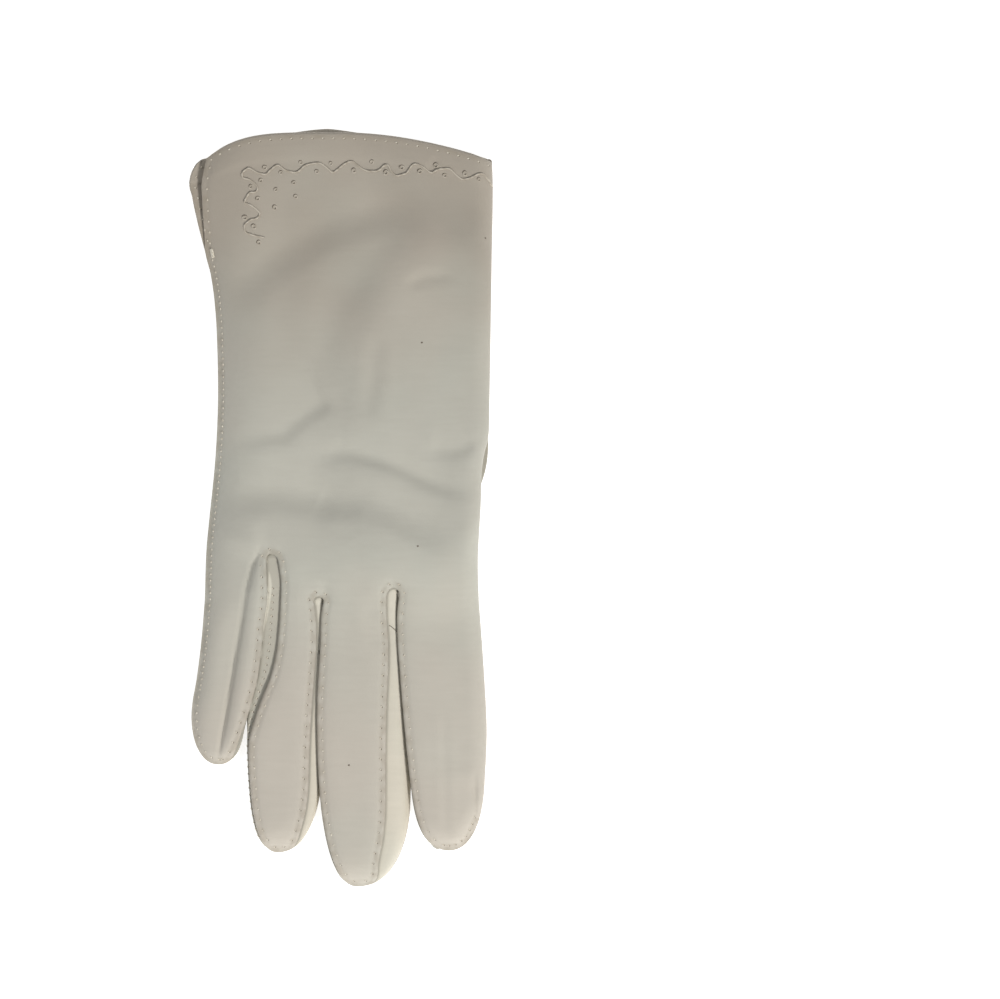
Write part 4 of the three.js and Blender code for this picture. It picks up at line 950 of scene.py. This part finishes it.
vine_points = []
for x, y in smooth_line(VINE, 0.5):
    hit, normal = height_on(x, y)
    if hit is not None:
        vine_points.append(np.array(hit) + [0, 0, CORD_RADIUS * 0.5])
vine = tube("vine_cord", vine_points, CORD_RADIUS, 8)
# Painted shadow: a thin dark tube beside the cord, a little lower and towards the cuff.
cord_shadow = tube("vine_edge_thread", np.array(vine_points) + [-0.1, 0.22, -0.06], 0.14, 6)
# A short dark line across the fourchette below the crotch: painted shade in the crease of its seam.
join_tree = tree_of(fourchettes[2])
join_places = evenly(spots((389, 625), (392.5, 627.5), (397, 632)), 0.3)
join_line = [np.array(height_on(x, y, False, join_tree)[0]) for x, y in join_places]
strip_join = tube("strip_join", join_line, 0.13, 6)
print("vine", len(vine.data.polygons), "faces")

# %% [markdown]
# ## Knots
# Beside the vine sit small knots: the thread is wound round the needle and pulled down, which
# leaves a little ring with a dimple in it. One knot is modelled with Blender's own tools and then
# copied to each place, a little turned each time so that no two look the same.

# %% One knot, made from a ring
KNOT_RADIUS = 0.72


def squeezed_and_cut(size, cut):
    """Squeezes what was just added, cuts off what lies below a height and returns plain arrays."""
    bpy.ops.object.mode_set(mode="EDIT")
    bpy.ops.mesh.select_all(action="SELECT")
    bpy.ops.transform.resize(value=size)
    bpy.ops.mesh.bisect(plane_co=(0, 0, cut), plane_no=(0, 0, 1), clear_inner=True)
    bpy.ops.object.mode_set(mode="OBJECT")
    piece = bpy.context.object
    mesh = piece.data
    points = np.zeros(len(mesh.vertices) * 3)
    mesh.vertices.foreach_get("co", points)
    faces = [list(p.vertices) for p in mesh.polygons]
    bpy.data.objects.remove(piece)
    bpy.data.meshes.remove(mesh)
    return points.reshape(-1, 3), faces


bpy.ops.mesh.primitive_torus_add(major_radius=KNOT_RADIUS, minor_radius=0.25,
                                 major_segments=14, minor_segments=6)
knot_points, knot_faces = squeezed_and_cut((1.0, 0.86, 0.75), -0.12)
print("one knot", len(knot_faces), "faces")

# %% [markdown]
# ## Setting knots down
# An embroiderer makes the same knot many times. One mesh holds all the copies, each turned to face
# the way the cloth faces there. That is lighter than many objects and stays one piece to handle.
# A second, darker set, a little larger, lower and moved towards the cuff, is each knot's painted shadow.

# %% Copies of a small thing, each set on the cloth
def set_down(name, points, faces, places):
    """One mesh of many copies. A place is a spot, the cloth's facing there, a turn and a size."""
    all_points, all_faces = [], []
    for n, (spot, normal, turn, size) in enumerate(places):
        up = Vector(normal).normalized()
        along = Vector((math.cos(turn), math.sin(turn), 0))
        side = up.cross(along).normalized()
        along = side.cross(up)
        basis = np.array([along, side, up])
        all_points.append(np.asarray(spot) + size * points @ basis)
        all_faces += [[v + n * len(points) for v in face] for face in faces]
    return new_piece(name, np.concatenate(all_points), all_faces)


KNOTS = spots(
    (265, 168), (301, 163), (331, 164), (372, 162.5), (402, 168), (436, 166), (465, 174),
    (261, 181), (281, 173), (317, 172), (354, 171), (386, 173), (420, 172), (445, 176), (479, 180),
    (251, 187), (258, 199), (245, 218), (254, 227), (259, 243),
    (276, 190), (294, 183), (296, 197), (275, 208),
)
knot_places = []
for n, (x, y) in enumerate(KNOTS):
    hit, normal = height_on(x, y)
    raised = np.array(hit) + np.array(normal) * 0.05
    knot_places.append((raised, normal, 2.4 * n, 0.85 + 0.12 * math.sin(5.3 * n)))
knots = set_down("knots", knot_points, knot_faces, knot_places)
# Painted shadow: a darker, larger copy of each knot, a little lower and towards the cuff.
shade_places = [(spot + np.array([-0.1, 0.2, -0.06]), normal, turn, 1.06 * size)
                for spot, normal, turn, size in knot_places]
knot_edges = set_down("knot_edges", knot_points, knot_faces, shade_places)
print(len(knot_places), "knots")

# %% [markdown]
# ## Stitches
# Every edge is sewn with a fine prick stitch. From outside only a dot of thread shows, sunk in
# the cloth, at a steady pitch. One dot is modelled and copied along lines that run a set distance
# inside each edge: round the fingers, along the side seam, the vent and the hem.

# %% One stitch, made from a ball
bpy.ops.mesh.primitive_uv_sphere_add(segments=8, ring_count=6, radius=0.3)
stitch_points, stitch_faces = squeezed_and_cut((1.3, 0.85, 0.8), -0.06)
print("one stitch", len(stitch_faces), "faces")

# %% [markdown]
# ## Needle holes
# A thick needle leaves a small hole where the thread goes in. From above it is a dark speck of shade,
# so a flattened dark ball is painted shade there, and nothing has to be cut out of the cloth.

# %% One needle hole, a flat dark dimple beside a stitch
bpy.ops.mesh.primitive_uv_sphere_add(segments=8, ring_count=4, radius=0.25)
hole_points, hole_faces = squeezed_and_cut((1.0, 0.85, 0.3), -0.02)

# %% [markdown]
# ## Where the stitches run
# The sewn edges are already known from the grids. Each edge is taken as a line, moved inward to
# the seam and divided into even steps, and a ray finds the cloth's height at each step. The pitch
# changes from edge to edge, as it does where a maker sews tighter round a fingertip.

# %% Lines of stitches
SEAM_PITCH, LITTLE_PITCH, TIP_PITCH, RING_SIDE_PITCH, WIDE_PITCH = 2.0, 2.6, 2.2, 2.3, 3.4
LITTLE_FROM = -28  # past this y the outer seam is sewn with the little finger's wider pitch


def inset(line, distance):
    """A line moved sideways by a distance, to the left of the way it runs."""
    ahead = np.gradient(line, axis=0)
    ahead /= np.maximum(np.linalg.norm(ahead, axis=1, keepdims=True), 1e-9)
    return line + distance * np.column_stack([-ahead[:, 1], ahead[:, 0]])


def edge_lines(sheet):
    """The sewn edges as lines, each with its pitch. Cloth lies to the left of the way they run."""
    strips = STRIPS[sheet]
    lines = []
    little = strips[0]
    flat = lambda points: points[:, :2]
    seam_from = HAND_LENGTH - VENT_LENGTH
    outer = little["points"][little["y"] < seam_from - 2, 0]
    lines.append((flat(outer[outer[:, 1] > LITTLE_FROM]), SEAM_PITCH))
    lines.append((flat(outer[outer[:, 1] <= LITTLE_FROM]), LITTLE_PITCH))
    vent = little["points"][(little["y"] >= seam_from - 1) & (little["y"] < HAND_LENGTH - 3), 0]
    lines.append((flat(vent), WIDE_PITCH))
    for k in range(3):
        line, _ = gap_edges(k, sheet)
        lines.append((flat(line), WIDE_PITCH))
    for k in range(4):
        strip = strips[k]
        sewn = strip["right_closed"] > STILL_OPEN if k < 3 else strip["folded"] < 0.5
        left, right = flat(strip["points"][:, 0]), flat(strip["points"][:, -1])
        if k > 0:
            lines.append((left[strip["left_closed"] > 0.9], TIP_PITCH))
        lines.append((right[sewn][::-1], TIP_PITCH))
    hem = np.concatenate([flat(strip["points"][0][:-1] if n < 3 else strip["points"][0])
                          for n, strip in enumerate(strips)])
    hem[:, 1] += EDGE_ROUND
    lines.append((hem[::-1][3:-3], WIDE_PITCH))
    return lines


def stitch_places(lines, below, tree, flip=1.0):
    places = []
    for line, pitch in lines:
        if len(line) < 3:
            continue
        path = evenly(inset(evenly(line, 0.8), SEAM_IN * flip), pitch)
        run = np.gradient(path, axis=0)
        for (x, y), (dx, dy) in zip(path, run):
            hit, normal = height_on(x, y, below, tree)
            if hit is None or abs(normal[2]) < 0.35:
                continue
            up = Vector(normal) * (-1 if (normal[2] > 0) == below else 1)
            sway = noise.noise(Vector((x, y, 2.0)))
            raised = np.array(hit) + np.array(up) * 0.02
            places.append((raised, up, math.atan2(dy, dx) + 0.5 * sway, 1 + 0.2 * sway))
    return places


back_places = stitch_places(edge_lines("back"), False, outer_tree)
palm_places = stitch_places(edge_lines("palm"), True, outer_tree)
palm_strip = STRIPS["palm"][0]
vent_rows = (palm_strip["y"] > HAND_LENGTH - VENT_LENGTH + 4) & (palm_strip["y"] < HAND_LENGTH - 2)
under_vent = palm_strip["points"][vent_rows, 0, :2]
back_places += stitch_places([(under_vent, WIDE_PITCH)], False, outer_tree)
ring_wall = fourchette_grids[0][5]
ring_side = ring_wall[len(ring_wall) // 2 + 4:-6, :2]
back_places += stitch_places([(ring_side, RING_SIDE_PITCH)], False, tree_of(fourchettes[0]), 0.0)
stitches = set_down("stitches_back", stitch_points, stitch_faces, back_places)


def beside(places, x, y):
    return [(spot + np.array([x, y, -0.01]), normal, turn, size) for spot, normal, turn, size in places]


# Painted shade: dark balls beside the back's stitches stand for the needle holes, and four dark specks are
# added.
specks = [(*height_on(x, y), 0.3, 1.5) for x, y in spots((485.5, 238.5), (349, 765), (422, 343), (418, 546))]
needle_holes = set_down("needle_holes", hole_points, hole_faces, beside(back_places, 0.3, -0.22) + specks)
palm_stitches = set_down("stitches_palm", stitch_points, stitch_faces, palm_places)
print(len(back_places), "stitches on the back and", len(palm_places), "on the palm")

# %% [markdown]
# ## Thumb and bar tack
# The thumb's two layers are sewn round their rim, which shows only from below. A bar tack is a few
# stitches on top of each other that keep the end of the vent from tearing, so the same stitch is
# used again, larger and close together.

# %% Stitches round the thumb, and the bar tack that ends the vent
grid, _ = thumb_grid(False)
thumb_rim = np.concatenate([grid[:, 0, :2], grid[::-1, -1, :2]])
under_places = stitch_places([(thumb_rim, WIDE_PITCH)], True, thumb_tree)
thumb_stitches = set_down("stitches_thumb", stitch_points, stitch_faces, under_places)

tack_at = spots((211.5, 253))[0]
tack_places = []
for n in range(5):
    x, y = tack_at[0] + 0.1 * n, tack_at[1] + 1.1 - 0.55 * n
    hit, normal = height_on(x, y)
    tack_places.append((np.array(hit) + np.array(normal) * 0.05, normal, 0.25, 2.0))
tack = set_down("bar_tack", stitch_points, stitch_faces, tack_places)
print(len(under_places), "stitches round the thumb")

# %% [markdown]
# ## Cloth and thread
# The cloth is a fine matt cotton with a faint crosswise grain. Its colour is uneven: darker, greyer
# and browner at the cuff, cooler in the hand and lighter and warmer at the fingertips, which is
# partly its own tone and partly painted shade and light. Near the stitching it is darker, partly
# with dirt and partly with painted shade in the seams' grooves and at the edges. The pattern is
# written as maths on a place, because that is how a weave is made: two sets of threads that go over
# and under. A small class lets Python's own signs build the nodes.

# %% A small class for shader maths
class Wire:
    """One output of a shader node. Python's signs on wires add Math nodes to the tree."""

    def __init__(self, tree, socket):
        self.tree, self.socket = tree, socket

    def maths(self, operation, *values):
        made = add_node(self.tree, "ShaderNodeMath", {"operation": operation})
        for k, value in enumerate(values):
            plug(self.tree, made.node.inputs[k], value)
        return made.out(0)

    def out(self, which):
        return Wire(self.tree, self.socket.node.outputs[which])

    def __add__(self, other): return self.maths("ADD", self, other)
    def __radd__(self, other): return self.maths("ADD", other, self)
    def __sub__(self, other): return self.maths("SUBTRACT", self, other)
    def __rsub__(self, other): return self.maths("SUBTRACT", other, self)
    def __mul__(self, other): return self.maths("MULTIPLY", self, other)
    def __rmul__(self, other): return self.maths("MULTIPLY", other, self)


class Made:
    """A node that was added, so that its sockets can be reached."""

    def __init__(self, tree, node):
        self.tree, self.node = tree, node

    def out(self, which):
        return Wire(self.tree, self.node.outputs[which])


def plug(tree, socket, value):
    if isinstance(value, Wire):
        tree.links.new(value.socket, socket)
    else:
        socket.default_value = value


def add_node(tree, kind, settings=None, **sockets):
    """Adds one node: its settings first, then the values or wires of its sockets by name."""
    node = tree.nodes.new(kind)
    for key, value in (settings or {}).items():
        setattr(node, key, value)
    for name, value in sockets.items():
        plug(tree, node.inputs[name.replace("_", " ")], value)
    return Made(tree, node)


def colour_mix(tree, share, a, b):
    made = add_node(tree, "ShaderNodeMix", {"data_type": "RGBA"})
    plug(tree, made.node.inputs["Factor"], share)
    plug(tree, made.node.inputs[6], a)
    plug(tree, made.node.inputs[7], b)
    return made.out(2)


def smooth(tree, start, end, value):
    made = add_node(tree, "ShaderNodeMapRange", {"interpolation_type": "SMOOTHSTEP"})
    plug(tree, made.node.inputs["Value"], value)
    made.node.inputs["From Min"].default_value = start
    made.node.inputs["From Max"].default_value = end
    return made.out("Result")


def new_material(name, roughness, sheen):
    material = bpy.data.materials.new(name)
    material.use_nodes = True
    tree = material.node_tree
    shader = tree.nodes["Principled BSDF"]
    shader.inputs["Roughness"].default_value = roughness
    shader.inputs["Specular IOR Level"].default_value = 0.25
    shader.inputs["Sheen Weight"].default_value = sheen
    shader.inputs["Sheen Roughness"].default_value = 0.6
    return material, tree, shader


def srgb(r, g, b):
    """A colour as seen on a screen, 0 to 255, as the linear colour a shader needs."""
    return (*[((v / 255 + 0.055) / 1.055) ** 2.4 for v in (r, g, b)], 1.0)

# %% [markdown]
# ## The cloth's finish
# The weave is finer than the picture's pixels, so it goes into the bump and not into the mesh. Two
# sine waves make the threads that cross, and soft noise gives grain and wear. The colour follows
# the glove's length, darker at the cuff, which is partly painted shade. Near the stitches, through
# the distance kept on the mesh, the cloth is darkened with dirt and with painted shade, and on the
# fourchettes the value kept on the mesh paints a grey rim of shade.

# %% The woven cloth
THREAD_PITCH = 0.42 * MM


def woven(name, cuff, hand, tips, weave_depth, rim=None):
    """A fine woven cotton whose colour changes from the cuff to the fingertips."""
    material, tree, shader = new_material(name, 0.86, 0.12)
    place = add_node(tree, "ShaderNodeTexCoord").out("Object")
    split = add_node(tree, "ShaderNodeSeparateXYZ", Vector=place)
    x, y = split.out("X"), split.out("Y")

    def cloud(scale, detail, stretch=(1, 1, 1)):
        mapped = add_node(tree, "ShaderNodeMapping", Vector=place)
        mapped.node.inputs["Scale"].default_value = stretch
        made = add_node(tree, "ShaderNodeTexNoise", Vector=mapped.out("Vector"),
                        Scale=scale, Detail=detail)
        return made.out("Fac")

    patches = cloud(28, 3)
    streaks = cloud(700, 3, (0.16, 1, 1))
    fuzz = cloud(2600, 2)
    down = y + (patches - 0.5) * 0.03
    # Darker at the cuff and lighter at the tips: partly the cloth's own tone, partly painted shade and light.
    base = colour_mix(tree, smooth(tree, 0.095, 0.015, down), cuff, hand)
    base = colour_mix(tree, smooth(tree, -0.015, -0.075, down), base, tips)
    cool = colour_mix(tree, smooth(tree, 0.42, 0.66, cloud(16, 2)) * 0.25, base, srgb(196, 200, 188))
    blush = smooth(tree, 0.5, 0.72, cloud(20, 2, (1, 0.7, 1))) * 0.22
    blush = colour_mix(tree, blush, cool, srgb(204, 190, 176))
    grained = colour_mix(tree, streaks * 0.16, blush, srgb(150, 144, 130))
    seam = add_node(tree, "ShaderNodeAttribute", {"attribute_name": "seam_distance"}).out("Fac")
    # Darker near the seams: partly dirt, partly painted shade in the stitched grooves and at the edges.
    dirt_and_shade = (1 - smooth(tree, 0.9, 2.9, seam)) * smooth(tree, 0.3, 0.65, cloud(300, 3)) * 0.32
    soiled_and_shaded = colour_mix(tree, dirt_and_shade, grained, srgb(150, 138, 118))
    # On the fourchettes a grey rim is painted as shade along their edges, beside the back's edge.
    if rim:
        soiled_and_shaded = colour_mix(tree, smooth(tree, 0.2, 0.8, seam), rim, grained)
    plug(tree, shader.inputs["Base Color"], soiled_and_shaded)

    turn = 2 * math.pi / THREAD_PITCH
    warp = x.maths("SINE", (x + (fuzz - 0.5) * 0.00006) * turn)
    weft = y.maths("SINE", (y + (fuzz - 0.5) * 0.00006) * turn)
    height = warp * weft * 0.5 + streaks * 0.8 + fuzz * 0.6
    bump = add_node(tree, "ShaderNodeBump", Height=height, Strength=weave_depth, Distance=0.00008)
    tree.links.new(bump.node.outputs["Normal"], shader.inputs["Normal"])
    return material


# The cuff's darker colour and the tips' lighter one are partly painted shade and light.
trank_cloth = woven("glove_cotton", srgb(171, 162, 149), srgb(191, 189, 178), srgb(200, 193, 181), 0.5)
strip_cloth = woven("fourchette_cotton", srgb(222, 216, 201), srgb(226, 221, 206), srgb(222, 215, 199), 0.35,
                    srgb(186, 182, 169))

# %% [markdown]
# ## The threads' finish
# A thread is twisted, so slanting bands run round it. One function makes all three: the pale cord,
# the dark thread of painted shade beside cord, knots, needle holes and join, and the fine sewing
# thread. They differ in colour, twist and shine.

# %% The cord and the sewing thread
def thread(name, light, dark, twist, roughness):
    """A twisted thread: slanting turns in its bump and a little colour from strand to strand."""
    material, tree, shader = new_material(name, roughness, 0.2)
    place = add_node(tree, "ShaderNodeTexCoord").out("Object")
    wave = add_node(tree, "ShaderNodeTexWave", {"wave_type": "BANDS", "bands_direction": "DIAGONAL"},
                    Vector=place, Scale=twist, Distortion=1.5, Detail=1.0).out("Fac")
    grain = add_node(tree, "ShaderNodeTexNoise", Vector=place, Scale=900.0, Detail=2.0).out("Fac")
    plug(tree, shader.inputs["Base Color"], colour_mix(tree, wave * 0.5 + grain * 0.4, dark, light))
    bump = add_node(tree, "ShaderNodeBump", Height=wave + grain * 0.4, Strength=0.6, Distance=0.00012)
    tree.links.new(bump.node.outputs["Normal"], shader.inputs["Normal"])
    return material


cord_thread = thread("vine_thread", srgb(206, 198, 184), srgb(158, 148, 132), 260, 0.62)
# shade_thread is painted shade: the shadows of cord and knots, the needle holes, the join and four specks.
shade_thread = thread("shade_thread", srgb(136, 126, 112), srgb(98, 89, 78), 260, 0.75)
sewing_thread = thread("sewing_thread", srgb(240, 235, 220), srgb(190, 180, 160), 520, 0.45)

# %% [markdown]
# ## Putting it together
# Each piece gets its material and rides on the glove's one body, and the part of the imported
# glove that it stands for is hidden. The area of cloth in each sheet is printed.

# %% Materials, and what each piece stands for
DRESSED = [
    (trank, trank_cloth, "cloth", "trank"),
    (thumb, trank_cloth, "cloth", "thumb"),
    (fourchettes[0], strip_cloth, "strip_cloth", "fourchette_little_ring"),
    (fourchettes[1], strip_cloth, "strip_cloth", "fourchette_ring_middle"),
    (fourchettes[2], strip_cloth, "strip_cloth", "fourchette_middle_index"),
    (vine, cord_thread, "cord", "embroidery_vine"),
    (cord_shadow, shade_thread, "cord", None),
    (knots, cord_thread, "cord", None),
    (knot_edges, shade_thread, "cord", None),
    (needle_holes, shade_thread, "cord", None),
    (stitches, sewing_thread, "cord", None),
    (palm_stitches, sewing_thread, "cord", None),
    (thumb_stitches, sewing_thread, "cord", None),
    (tack, sewing_thread, "cord", None),
    (strip_join, shade_thread, "cord", None),
]
for piece, finish, slot, node in DRESSED:
    piece.data.materials.clear()
    piece.data.materials.append(finish)
    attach(piece, "root")
    if node:
        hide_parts(node)


def flat_area(piece):
    return sum(polygon.area for polygon in piece.data.polygons) / 2


for k, piece in enumerate(fourchettes):
    [strip_join] if k == 2 else []
print("cloth in square centimetres", [round(flat_area(p) * 1e4, 1) for p in (trank, thumb, *fourchettes)])

# %% [markdown]
# ## Table, light and camera
# The picture is taken from straight above on white. The table is a pale sheet that ends in white,
# the light is broad and soft and comes from the right and the fingers' side, so that folds and
# cord have a quiet shadow towards the cuff. The camera looks straight down from far away.

# %% The table
bpy.ops.mesh.primitive_plane_add(size=4.0, location=(0, 0, -0.0003))
table = bpy.context.object
table.name = "table"
paper, _, paper_shader = new_material("table_paper", 0.9, 0.0)
paper_shader.inputs["Base Color"].default_value = (0.8, 0.8, 0.8, 1)
paper_shader.inputs["Emission Color"].default_value = (1, 1, 1, 1)
paper_shader.inputs["Emission Strength"].default_value = 0.7
table.data.materials.append(paper)
bpy.ops.object.select_all(action="DESELECT")

# %% [markdown]
# ## Light
# One large lamp, far off, gives the folds their shape, a weak one opens the shadows, and the pale room fills
# in the rest. A small or near lamp would throw hard shadows, which the picture doesn't have.

# %% Lights
def lamp(name, place, aim, size, watts, colour):
    light = bpy.data.lights.new(name, "AREA")
    light.shape = "DISK"
    light.size = size
    light.energy = watts
    light.color = colour
    shown = bpy.data.objects.new(name, light)
    shown.location = place
    shown.rotation_euler = (Vector(aim) - Vector(place)).to_track_quat("-Z", "Y").to_euler()
    bpy.context.scene.collection.objects.link(shown)
    return shown


lamp("key", (1.1, -1.55, 1.8), (0.0, 0.0, 0.0), 0.45, 50.0, (1.0, 0.985, 0.96))
lamp("fill", (-0.8, 0.6, 1.5), (0.0, 0.0, 0.0), 1.0, 5.0, (0.96, 0.98, 1.0))
world = bpy.context.scene.world or bpy.data.worlds.new("room")
bpy.context.scene.world = world
world.use_nodes = True
background = world.node_tree.nodes["Background"]
background.inputs["Color"].default_value = (0.97, 0.98, 1.0, 1)
background.inputs["Strength"].default_value = 0.34
bpy.context.scene.view_settings.view_transform = "Standard"

# %% [markdown]
# ## Camera
# The picture was taken from straight above. A long lens far away makes parallel lines stay
# parallel, so a pixel is the same length all over the glove and the outline can be compared.

# %% Camera
PICTURE_WIDTH = 1000 * PIXEL * MM
LENS, SENSOR = 330.0, 36.0
middle = to_frame(np.append(spots((500, 499.5))[0], 0))
camera_data = bpy.data.cameras.new("camera")
camera_data.lens = LENS
camera_data.sensor_width = SENSOR
camera = bpy.data.objects.new("camera", camera_data)
camera.location = (middle[0], middle[1], 0.006 + PICTURE_WIDTH * LENS / SENSOR)
camera.rotation_euler = (0, 0, 0)
bpy.context.scene.collection.objects.link(camera)
bpy.context.scene.camera = camera
print("camera at", [round(v, 4) for v in camera.location])
